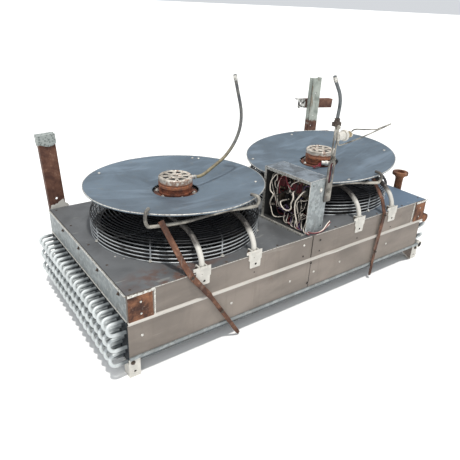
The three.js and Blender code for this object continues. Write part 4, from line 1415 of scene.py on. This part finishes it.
class COOLER_OT_arms(bpy.types.Operator):
    """Bent support tubes over the guards and the brackets that clamp them."""

    bl_idname = "cooler.arms"
    bl_label = "Support tubes"

    def execute(self, context):
        for n, fan in FANS.items():
            for side, sign in (("left", -1), ("right", 1)):
                place = fan_place(n) @ Matrix.Translation((sign * ARM_SPREAD, 0, 0))
                stud_top = max(fan["hole"] + 4 - fan["tilt"][0] * sign * ARM_SPREAD, ARM_TOP + ARM_R + 2)
                self.tube(f"{n}_{side}", place, stud_top)
                self.clip(f"{n}_{side}", place, sign)
        return {"FINISHED"}

    def tube(self, tag, place, stud_top):
        half = WIDTH / 2
        rise = [(13, 4), (16, 40), (34, 76), (62, 104), (100, 127), (150, 139.5), (215, ARM_TOP),
                (340, ARM_TOP)]
        line = [(0, y - half, z) for y, z in rise] + [(0, half - y, z) for y, z in rise[::-1]]
        tube = Shape(place)
        tube.sweep(curve_through(line, 5), ARM_R - 0.4, 16, up=(1, 0, 0))
        for y in (-150, 150):
            tube.turned([(0, ARM_TOP), (8, ARM_TOP), (8, stud_top - 1), (7, stud_top), (0, stud_top)], 16,
                        Matrix.Translation((0, y, 0)))
        tube.plate([(-34, -62), (34, -62), (34, 24), (-34, 24)], 3.6, [hole(0, -48, 6)],
                   upright(half + 0.4))
        tube.block((-16, half - 24, 12), (16, half + 3, 20))
        tube.make("arm_" + tag, "arm_coat", slot="white_zinc", replaces=["support_arm_" + tag])

    def clip(self, tag, place, sign):
        y = -FAN_Y
        at = place @ Matrix.Translation((0, y, 0))
        clip = Shape(at)
        face = [(-50, 22), (-50, 8), (-37, 6), (-37, -22), (-30, -30), (-29, -62), (-26, -65), (27, -65),
                (30, -62),
                (31, -28), (36, -24), (36, 22)]
        clip.plate(face[::-1], 3.0, [hole(4, -48, 6.5), hole(-8, -12, 2.5, 10)],
                   upright(-3.3))
        for a, b in ((-21, -14.5), (14.5, 21)):
            clip.block((a, -2, 0.4), (b, 30, 22))
        clip.block((-21, -6.5, 14), (21, -2.8, 22))
        clip.make("clip_" + tag, "white_zinc", slot="white_zinc", replaces=["arm_clip_" + tag], bevel=0.8)
        back = Shape(at)
        puck(back, (4, -0.2, -48), (0, -1, 0), 8, 0.3, 16)
        back.make("clip_hole_" + tag, "dark_hole", slot="white_zinc")
        bolt = Shape(at)
        hex_bolt(bolt, (22, 18, 11), (1, 0, 0), 6, 5, 8)
        hex_bolt(bolt, (-22, 18, 11), (-1, 0, 0), 6, 4, 8)
        bolt.make("clip_bolts_" + tag, "old_screw", slot="white_zinc")


# ---- posts and straps ------------------------------------------------------------------------
def channel(shape, width, low, high, holes=(), matrix=None, wall=6.0, deep=35.0):
    """A channel with its web against the casing; holes are (x, z, radius) through the web."""
    place = matrix or Matrix()
    web = [hole(x, z, r) for x, z, r in holes]
    shape.plate([(0, low), (width, low), (width, high), (0, high)], wall, web, place @ upright(0))
    for x in (0, width - wall):
        shape.block((x, wall * 0.5, low), (x + wall, deep, high), place)
    return shape


class COOLER_OT_posts(bpy.types.Operator):
    """What is left of the two rear posts and their cross arm."""

    bl_idname = "cooler.posts"
    bl_label = "Rear posts"

    def execute(self, context):
        y = WIDTH + 0.3
        lean = Matrix.Translation((11, y, DECK - 70)) @ Matrix.Rotation(math.radians(-2.6), 4, "Y")
        left = Shape()
        channel(left, POST_WIDTH, 0, LEFT_POST_TOP, [(40, 120, 6)], lean)
        left.make("left_post", "post_paint", slot="rusty_steel", replaces=["post_rear_left"], bevel=0.8)
        self.left_cap(lean)
        right = Shape()
        channel(right, POST_WIDTH, DECK - 127, 862, [(40, 610, 6), (26, 540, 5), (40, 760, 6)],
                Matrix.Translation((RIGHT_POST_X, y, 0)))
        right.block((0, 30, -6), (338, 52, 0),
                    Matrix.Translation((CROSS_ARM_X, y, 500)) @ Matrix.Rotation(math.radians(5), 4, "Y"))
        right.make("right_post", "post_paint", slot="rusty_steel", replaces=["post_rear_right"], bevel=0.8)
        arm = Shape()
        droop = Matrix.Translation((CROSS_ARM_X, y, 722)) @ Matrix.Rotation(math.radians(3.5), 4, "Y")
        arm.plate([(0, -46), (8, -61), (26, -54), (68, -58), (337, -61.5), (337, 0), (0, 0)], 5.4,
                  [hole(22, -28, 7), hole(52, -40, 5)], droop @ upright(35.4))
        arm.block((0, 38, -5.8), (337, 77.5, 0), droop)
        arm.make("top_cross_arm", "cross_arm_rust", slot="rusty_steel", replaces=["cross_arm"], bevel=0.6)
        self.torn_sheet(y)
        return {"FINISHED"}

    def left_cap(self, lean):
        top = LEFT_POST_TOP
        cap = Shape()
        front = [(-4, top + 3)] + [(-4 + 88 * k / 12, top - 42 - 15 * math.sin(math.pi * (k / 12) ** 1.4))
                                   for k in range(13)] + [(84, top + 3)]
        cap.plate(front, 2.6, (), lean @ upright(-4))
        for x in (-4, 81.2):
            cap.block((x, -2, top - 46), (x + 2.8, 40, top + 3), lean)
        cap.block((-4, 37.2, top - 54), (84, 40, top + 3), lean)
        cap.block((-4, -3, top + 0.4), (84, 40, top + 3), lean)
        cap.make("left_post_cap", "cap_zinc", slot="galvanised", replaces=["post_cap_left"], bevel=0.6)

    def torn_sheet(self, y):
        flap = Shape()
        outline = [(0, 0), (96, 0)] + jagged((98, 6), (74, 40), 10, 6, 31) + jagged((70, 44), (6, 20), 9, 8,
                                                                                    32)
        foot = Matrix.Translation((6, y - 7, DECK + 0.5)) @ Matrix.Rotation(0.05, 4, "Z")
        flap.plate(outline, 1.4, (), foot @ upright(0))
        flap.make("post_torn_sheet", "white_zinc", slot="galvanised")


def flat_bar(shape, line, width, thick, normal_of):
    """A flat bar bent along a line: width across, with its wide face looking along normal_of(way)."""
    rings = []
    line = [Vector(p) for p in line]
    for i, here in enumerate(line):
        along = (line[min(i + 1, len(line) - 1)] - line[max(i - 1, 0)]).normalized()
        t = i / (len(line) - 1)
        across = along.cross(Vector(normal_of(t))).normalized()
        up = across.cross(along)
        w = width(t) if callable(width) else width
        bow = [(-0.5, -0.5), (0.5, -0.5), (0.5, 0.5), (-0.5, 0.5)]
        rings.append([here + across * (a * w) + up * (b * thick) for a, b in bow])
    points = [p for ring in rings for p in ring]
    faces = [(i * 4 + k, i * 4 + (k + 1) % 4, (i + 1) * 4 + (k + 1) % 4, (i + 1) * 4 + k)
             for i in range(len(rings) - 1) for k in range(4)]
    faces += [(0, 3, 2, 1), tuple(len(points) - 4 + k for k in range(4))]
    return shape.add(points, faces)


def eased(points, radius=9.0, steps=4):
    """A broken line with its corners rounded."""
    points = [Vector(p) for p in points]
    line = [points[0]]
    for a, b, c in zip(points, points[1:], points[2:]):
        r = min(radius, (a - b).length / 3, (c - b).length / 3)
        start, end = b + (a - b).normalized() * r, b + (c - b).normalized() * r
        line += [start.lerp(b, k / steps).lerp(b.lerp(end, k / steps), k / steps) for k in range(steps + 1)]
    return line + [points[-1]]


class COOLER_OT_straps(bpy.types.Operator):
    """Two loose rusty straps that hang over the front."""

    bl_idname = "cooler.straps"
    bl_label = "Rusty straps"

    def execute(self, context):
        y = -13
        first = [(215, 118, DECK + 211), (268, 20, DECK + 34), (281, y, DECK - 2), (372, y, 174),
                 (540, y, -94)]
        second = [(1540, 160, DECK + 198), (1516, 24, DECK + 72), (1508, y, DECK), (1486, y, 96),
                  (1482, y, -82)]
        self.strap("left", first, 0.62, [(283, y - 4, 291), (437, y - 4, 70)])
        self.strap("right", second, 0.78, [(1508, y - 4, 292), (1485, y - 4, 74)])
        return {"FINISHED"}

    def strap(self, side, points, narrow, bolts):
        line = []
        eased_line = eased(points)
        for a, b in zip(eased_line, eased_line[1:]):
            pieces = max(1, int((b - a).length / 14))
            line += [a.lerp(b, k / pieces) for k in range(pieces)]
        line.append(Vector(points[-1]))

        def width(t):
            edge = 0.7 * math.sin(t * 61) + 0.5 * math.sin(t * 143)
            if t > 0.985:
                return 14
            return (25 if t < narrow else 18.5) + edge

        def looks(t):
            return (0, -1, 0.8 * max(0.0, 1 - t / 0.35))

        bar = Shape()
        flat_bar(bar, line, width, 5, looks)
        bar.make(f"strap_{side}", "strap_rust", slot="rusty_steel", replaces=[f"rusty_strap_{side}"],
                 bevel=0.6)
        nuts = Shape()
        for spot in bolts:
            hex_bolt(nuts, spot, (0, -1, 0), 6.5, 4.5, 9)
        nuts.make(f"strap_bolts_{side}", "old_screw", slot="rusty_steel")


# ---- electrical box --------------------------------------------------------------------------
WIRE_FINISHES = ("wire_red", "wire_white", "wire_black", "wire_violet")


class COOLER_OT_box(bpy.types.Operator):
    """The open control box with its switchgear and loose wires."""

    bl_idname = "cooler.box"
    bl_label = "Control box"

    def execute(self, context):
        self.shell()
        self.gear()
        self.wires(context.scene.cooler_sizes.wire_count)
        self.spill()
        return {"FINISHED"}

    def shell(self):
        depth, width, height = BOX_DEPTH, BOX_WIDTH, BOX_HEIGHT
        shell = Shape(BOX)
        grid = 7

        def panel(corner, across, up, thick, bow, seed):
            """A dented sheet from a corner along two edges, thickened inwards."""
            corner, across, up, thick = Vector(corner), Vector(across), Vector(up), Vector(thick)
            points = []
            for layer in (0, 1):
                for j in range(grid + 1):
                    for i in range(grid + 1):
                        s, t = i / grid, j / grid
                        dent = bow * noise.noise(Vector((s * 2.3, t * 2.3, seed)))
                        dent = dent * 16 * s * (1 - s) * t * (1 - t)
                        points.append(corner + across * s + up * t + thick * (layer + dent))
            shell.add(points, sheet_faces(grid, grid))

        panel((0, 0, 0), (depth, 0, 0), (0, 0, height), (0, 2, 0), 0.9, 1)
        panel((0, width, 0), (depth, 0, 0), (0, 0, height), (0, -2, 0), 0.6, 2)
        panel((depth, 2, 0), (0, width - 4, 0), (0, 0, height), (-2, 0, 0), 0.6, 3)
        panel((0, 2, height), (depth, 0, 0), (0, width - 4, 0), (0, 0, -2), 0.5, 4)
        panel((0, 2, 0), (depth, 0, 0), (0, width - 4, 0), (0, 0, 2), 0.2, 5)
        shell.make("box_shell", "box_sheet", slot="galvanised", replaces=["control_box"])
        edge = Shape(BOX)
        for line in ([(0.6, 1, 1), (0.6, 1, height - 1), (0.6, width - 1, height - 1), (0.6, width - 1, 1)],
                     [(1, 1, height - 0.8), (depth - 1, 1, height - 0.8),
                      (depth - 1, width - 1, height - 0.8)]):
            edge.sweep(eased(line, 3), 1.5, 6)
        edge.block((-22, 1, 0), (0, width - 1, 1.8))
        edge.block((-22, 1, 0), (-20.4, width - 1, 9))
        edge.block((0, 2, height - 15), (1.6, width - 2, height - 1))
        edge.block((0, width - 14, 3), (1.6, width - 2, height - 14))
        edge.make("box_edges", "zinc_screw", slot="galvanised")
        latch = Shape(BOX)
        drop = [(10 * math.cos(a) * (1 if math.sin(a) < 0 else 1 - 0.75 * math.sin(a)), 13 * math.sin(a))
                for a in (2 * math.pi * k / 20 for k in range(20))]
        latch.plate(drop, 2.6, (), Matrix.Translation((82, 0, 218)) @ upright(-2.8))
        dome(latch, (82, -2.6, 214), (0, -1, 0), 5, 4)
        latch.make("box_latch", "zinc_screw", slot="galvanised", bevel=0.4)
        dents = Shape(BOX)
        for x, z in ((22, 250), (118, 20), (20, 22), (60, 130)):
            puck(dents, (x, -0.3, z), (0, -1, 0), 3, 0.4, 10)
        dents.make("box_screw_holes", "dark_hole", slot="galvanised")

    def gear(self):
        back = BOX_DEPTH - 2 - 0.3
        plate = Shape(BOX)
        plate.block((back - 3, 12, 14), (back, 286, 258))
        for z0, z1 in ((44, 48), (186, 190), (208, 212)):
            plate.block((back - 11, 20, z0), (back - 3, 278, z1))
        plate.make("gear_rails", "box_sheet", slot="galvanised", replaces=["gear_plate"], bevel=0.4)
        dark, red, brass = Shape(BOX), Shape(BOX), Shape(BOX)
        front = back - 12.3
        sizes = [(30, 84, 70, dark), (90, 144, 70, red), (150, 186, 52, dark), (192, 256, 60, red)]
        for y0, y1, deep, tall in sizes:
            tall.block((front - deep, y0, 160), (front, y1, 240))
            tall.block((front - deep - 13, y0 + 8, 180), (front - deep, y1 - 8, 220))
            dark.block((front - deep - 5, y0 + 3, 164), (front - deep, y1 - 3, 176))
            dark.block((front - deep - 5, y0 + 3, 224), (front - deep, y1 - 3, 236))
            count = int((y1 - y0) / 14)
            for k in range(count):
                for z in (170, 230):
                    spot = (front - deep - 5, y0 + 10 + k * (y1 - y0 - 20) / max(1, count - 1), z)
                    puck(brass, spot, (-1, 0, 0), 4, 2.4, 10, 0.2)
        for k in range(22):
            y = 30 + k * 10.8
            (red if k in (4, 5, 12) else dark).block((back - 42, y, 34), (back - 4, y + 9.4, 62))
            puck(brass, (back - 30, y + 4.7, 62), (0, 0, 1), 2.8, 1.6, 8, 0.2)
        for y, z, w, h, deep in ((24, 78, 44, 62, 58), (86, 84, 30, 50, 44), (236, 76, 44, 66, 62)):
            dark.block((back - deep, y, z), (back - 3, y + w, z + h))
            puck(dark, (back - deep, y + w / 2, z + h / 2), (-1, 0, 0), w * 0.3, 7, 20)
        dark.make("contactor_bodies", "switchgear", slot="switchgear", replaces=["contactor_row"], bevel=0.8)
        red.make("contactor_fronts", "relay_red", slot="switchgear", bevel=0.8)
        brass.make("terminal_screws", "brass_screws", slot="switchgear")

    def wires(self, count):
        pick = random.Random(7)
        bundles = {name: Shape(BOX) for name in WIRE_FINISHES}
        names = ["wire_black"] * 8 + ["wire_red"] * 3 + ["wire_white"] * 4 + ["wire_violet"]
        for k in range(count):
            name = names[pick.randrange(len(names))]
            y0, y1 = pick.uniform(18, 280), pick.uniform(18, 280)
            y1 = y0 + (y1 - y0) * 0.6
            z0, z1 = pick.choice((60, 158, 168, 232)), pick.choice((20, 64, 100, 170, 245))
            out = pick.uniform(14, 62)
            line = [(pick.uniform(58, 86), y0, z0),
                    (out + 14, y0 + pick.uniform(-8, 8), z0 + pick.uniform(-16, 10)),
                    (out, y0 * 0.7 + y1 * 0.3 + pick.uniform(-22, 22),
                     z0 * 0.7 + z1 * 0.3 + pick.uniform(-24, 24)),
                    (out + pick.uniform(-8, 12), y0 * 0.3 + y1 * 0.7 + pick.uniform(-22, 22),
                     z0 * 0.3 + z1 * 0.7 + pick.uniform(-28, 16)),
                    (out + 18, y1, z1), (pick.uniform(56, 90), y1 + pick.uniform(-6, 6), z1)]
            line = [(max(5, min(100, x)), max(8, min(290, y)), max(8, min(262, z))) for x, y, z in line]
            bundles[name].sweep(curve_through(line, 6), pick.choice((1.7, 2.0, 2.4)), 6)
        loops = [("wire_white", [(70, 232, 244), (26, 246, 232), (12, 262, 190), (10, 258, 150),
                                 (14, 240, 132),
                                 (10, 250, 100), (22, 262, 70), (60, 262, 60)]),
                 ("wire_white", [(60, 60, 200), (20, 52, 204), (6, 66, 176), (5, 84, 140), (6, 80, 90),
                                 (8, 66, 50),
                                 (16, 64, 14)]),
                 ("wire_white", [(58, 170, 120), (14, 186, 110), (5, 160, 88), (5, 130, 84), (8, 110, 100),
                                 (16, 118, 126), (52, 130, 140)]),
                 ("wire_red", [(64, 190, 240), (22, 176, 246), (10, 150, 222), (8, 128, 206),
                               (20, 120, 196)]),
                 ("wire_white", [(60, 120, 176), (14, 110, 186), (6, 100, 160), (6, 112, 128),
                                 (20, 120, 112)])]
        for name, line in loops:
            bundles[name].sweep(curve_through(line, 8), 3.4, 8)
        for name, shape in bundles.items():
            shape.make("box_" + name + "s", name, slot="switchgear")

    def spill(self):
        """Wires that spill over the tray and out at the front corner."""
        pick = random.Random(9)
        shapes = {name: Shape() for name in WIRE_FINISHES}
        for k in range(14):
            name = ("wire_red", "wire_white", "wire_black", "wire_white", "wire_violet")[k % 5]
            y = 40 + 14 * k * 0.9
            line = [(990, y + 20, DECK + 40), (968, y, DECK + 30 + pick.uniform(-8, 16)),
                    (948 + pick.uniform(-4, 8), y - 16, DECK + 12 + pick.uniform(0, 12)),
                    (944 + pick.uniform(0, 10), y - 36, DECK + 9 + pick.uniform(0, 8)),
                    (956 + pick.uniform(0, 8), max(14, y - 58), DECK + 7)]
            shapes[name].sweep(curve_through(line, 6), 2.2, 6)
        tails = [("wire_red", 0, 12), ("wire_white", 5, 6), ("wire_red", 9, 18), ("wire_white", 3, 26)]
        for name, back, lift in tails:
            line = [(960, 34 + back, DECK + 14), (978, 14 + back * 0.4, DECK + 8),
                    (1010, 4 + back * 0.3, DECK + 6),
                    (1046, 3 + back * 0.4, DECK + 8 + lift * 0.2),
                    (1076, 8 + back * 0.3, DECK + 14 + lift * 0.8),
                    (1092 + back, 10, DECK + 22 + lift)]
            shapes[name].sweep(curve_through(line, 6), 2.4, 6)
        for name, shape in shapes.items():
            shape.make("spilled_" + name + "s", name, slot="switchgear")


class COOLER_OT_hanger(bpy.types.Operator):
    """The slotted hanger strap, its nuts and the bent sensor rod."""

    bl_idname = "cooler.hanger"
    bl_label = "Hanger and sensor rod"

    def execute(self, context):
        y = 27
        strap = Shape()
        lower = [(1050, DECK + 150), (1094, DECK + 150), (1094, DECK + 352)]
        lower += [(1094 - 22 + 22 * math.cos(a), DECK + 340 + 22 * math.sin(a))
                  for a in (math.pi * k / 8 for k in range(1, 8))] + [(1050, DECK + 352)]
        strap.plate(lower, 4, [slot_hole(1061, 1083, DECK + 244, DECK + 346)], upright(y))
        upper = [(1063, DECK + 358), (1091, DECK + 358), (1091, DECK + 532), (1063, DECK + 532)]
        strap.plate(upper, 4, [slot_hole(1071, 1083, DECK + 388, DECK + 492)], upright(y + 4.2))
        strap.make("hanger_bar", "stay_bar", slot="galvanised", replaces=["hanger_strap"], bevel=0.5)
        shade = Shape()
        shade.block((1060, y + 8.4, DECK + 240), (1085, y + 9.4, DECK + 350))
        shade.make("hanger_shade", "relay_red", slot="switchgear")
        nuts = Shape()
        for x, z in ((1078, DECK + 365), (1078, DECK + 512), (1073, DECK + 200)):
            hex_bolt(nuts, (x, y - 0.2, z), (0, -1, 0), 8, 7, 12)
        nuts.make("hanger_nuts", "stay_bar", slot="galvanised")
        clamp = Shape()
        clamp.block((1060, y + 1, DECK + 516), (1096, y + 26, DECK + 534))
        clamp.turned([(0, 0), (14, 0), (14, 8), (12, 9), (12, 13), (14, 14), (14, 17), (11, 17.6),
                      (0, 17.6)], 6,
                     facing((1080, y + 14, DECK + 533), (0, 0, 1)))
        clamp.make("conduit_clamp", "old_screw", slot="galvanised", bevel=0.5)
        self.sensor()
        return {"FINISHED"}

    def sensor(self):
        y = 42
        body = Shape()
        way = facing((1098, y, 762), (1, 0, 0))
        body.turned([(0, 0), (17, 0), (20, 3), (20, 36), (18, 38), (18, 39), (26, 39), (27, 41), (27, 50),
                     (26, 52),
                     (15, 52), (15, 56), (16, 58), (16, 64), (14, 66), (14, 90), (12, 95), (0, 96)], 20, way)
        body.block((1094, 34, 742), (1102, 52, 782))
        body.make("sensor_fitting", "white_zinc", slot="galvanised", replaces=["sensor_rod"], bevel=0.5)
        ring = Shape()
        ring.turned([(14.4, 66), (17, 68), (17, 82), (14.4, 84)], 6, way)
        ring.make("sensor_nut", "brass_screws", slot="galvanised", bevel=0.4)
        rod = Shape()
        rod.sweep(curve_through([(1186, y, 770), (1215, y, 782), (1290, y, 773), (1399, y, 764),
                                 (1488, y, 780)], 7),
                  3.3, 8)
        rod.sweep(curve_through([(1110, y, 746), (1122, y, 718), (1244, y, 732), (1380, y, 757),
                                 (1488, y, 781)], 7),
                  3.3, 8)
        flat_bar(rod, [(1392 + 98 * t, y, 763 + 18 * t) for t in (0, 0.2, 0.5, 0.8, 1)],
                 lambda t: 13 - 8 * t, 3, lambda t: (0, -1, 0))
        rod.make("bent_rod", "stay_bar", slot="galvanised")


# ---- add-on ----------------------------------------------------------------------------------
STEPS = [COOLER_OT_stage, COOLER_OT_cords, COOLER_OT_casing, COOLER_OT_footing, COOLER_OT_coil,
         COOLER_OT_guards,
         COOLER_OT_rotors, COOLER_OT_motors, COOLER_OT_covers, COOLER_OT_arms, COOLER_OT_posts,
         COOLER_OT_straps,
         COOLER_OT_box, COOLER_OT_hanger]


class COOLER_PT_panel(bpy.types.Panel):
    """Sizes, colours and the steps that make the cooler."""

    bl_idname = "COOLER_PT_panel"
    bl_label = "Cooler section"
    bl_space_type = "VIEW_3D"
    bl_region_type = "UI"
    bl_category = "Cooler"

    def draw(self, context):
        for group in (context.scene.cooler_sizes, context.scene.cooler_colours):
            for name in type(group).__annotations__:
                self.layout.prop(group, name)
        for step in STEPS:
            self.layout.operator(step.bl_idname)


CLASSES = [CoolerSizes, CoolerColours, *STEPS, COOLER_PT_panel]


def register():
    for cls in CLASSES:
        bpy.utils.register_class(cls)
    bpy.types.Scene.cooler_sizes = bpy.props.PointerProperty(type=CoolerSizes)
    bpy.types.Scene.cooler_colours = bpy.props.PointerProperty(type=CoolerColours)


def unregister():
    del bpy.types.Scene.cooler_colours
    del bpy.types.Scene.cooler_sizes
    for cls in reversed(CLASSES):
        bpy.utils.unregister_class(cls)


def main():
    register()
    for step in STEPS:
        group, name = step.bl_idname.split(".")
        getattr(getattr(bpy.ops, group), name)()


if __name__ == "__main__":
    main()
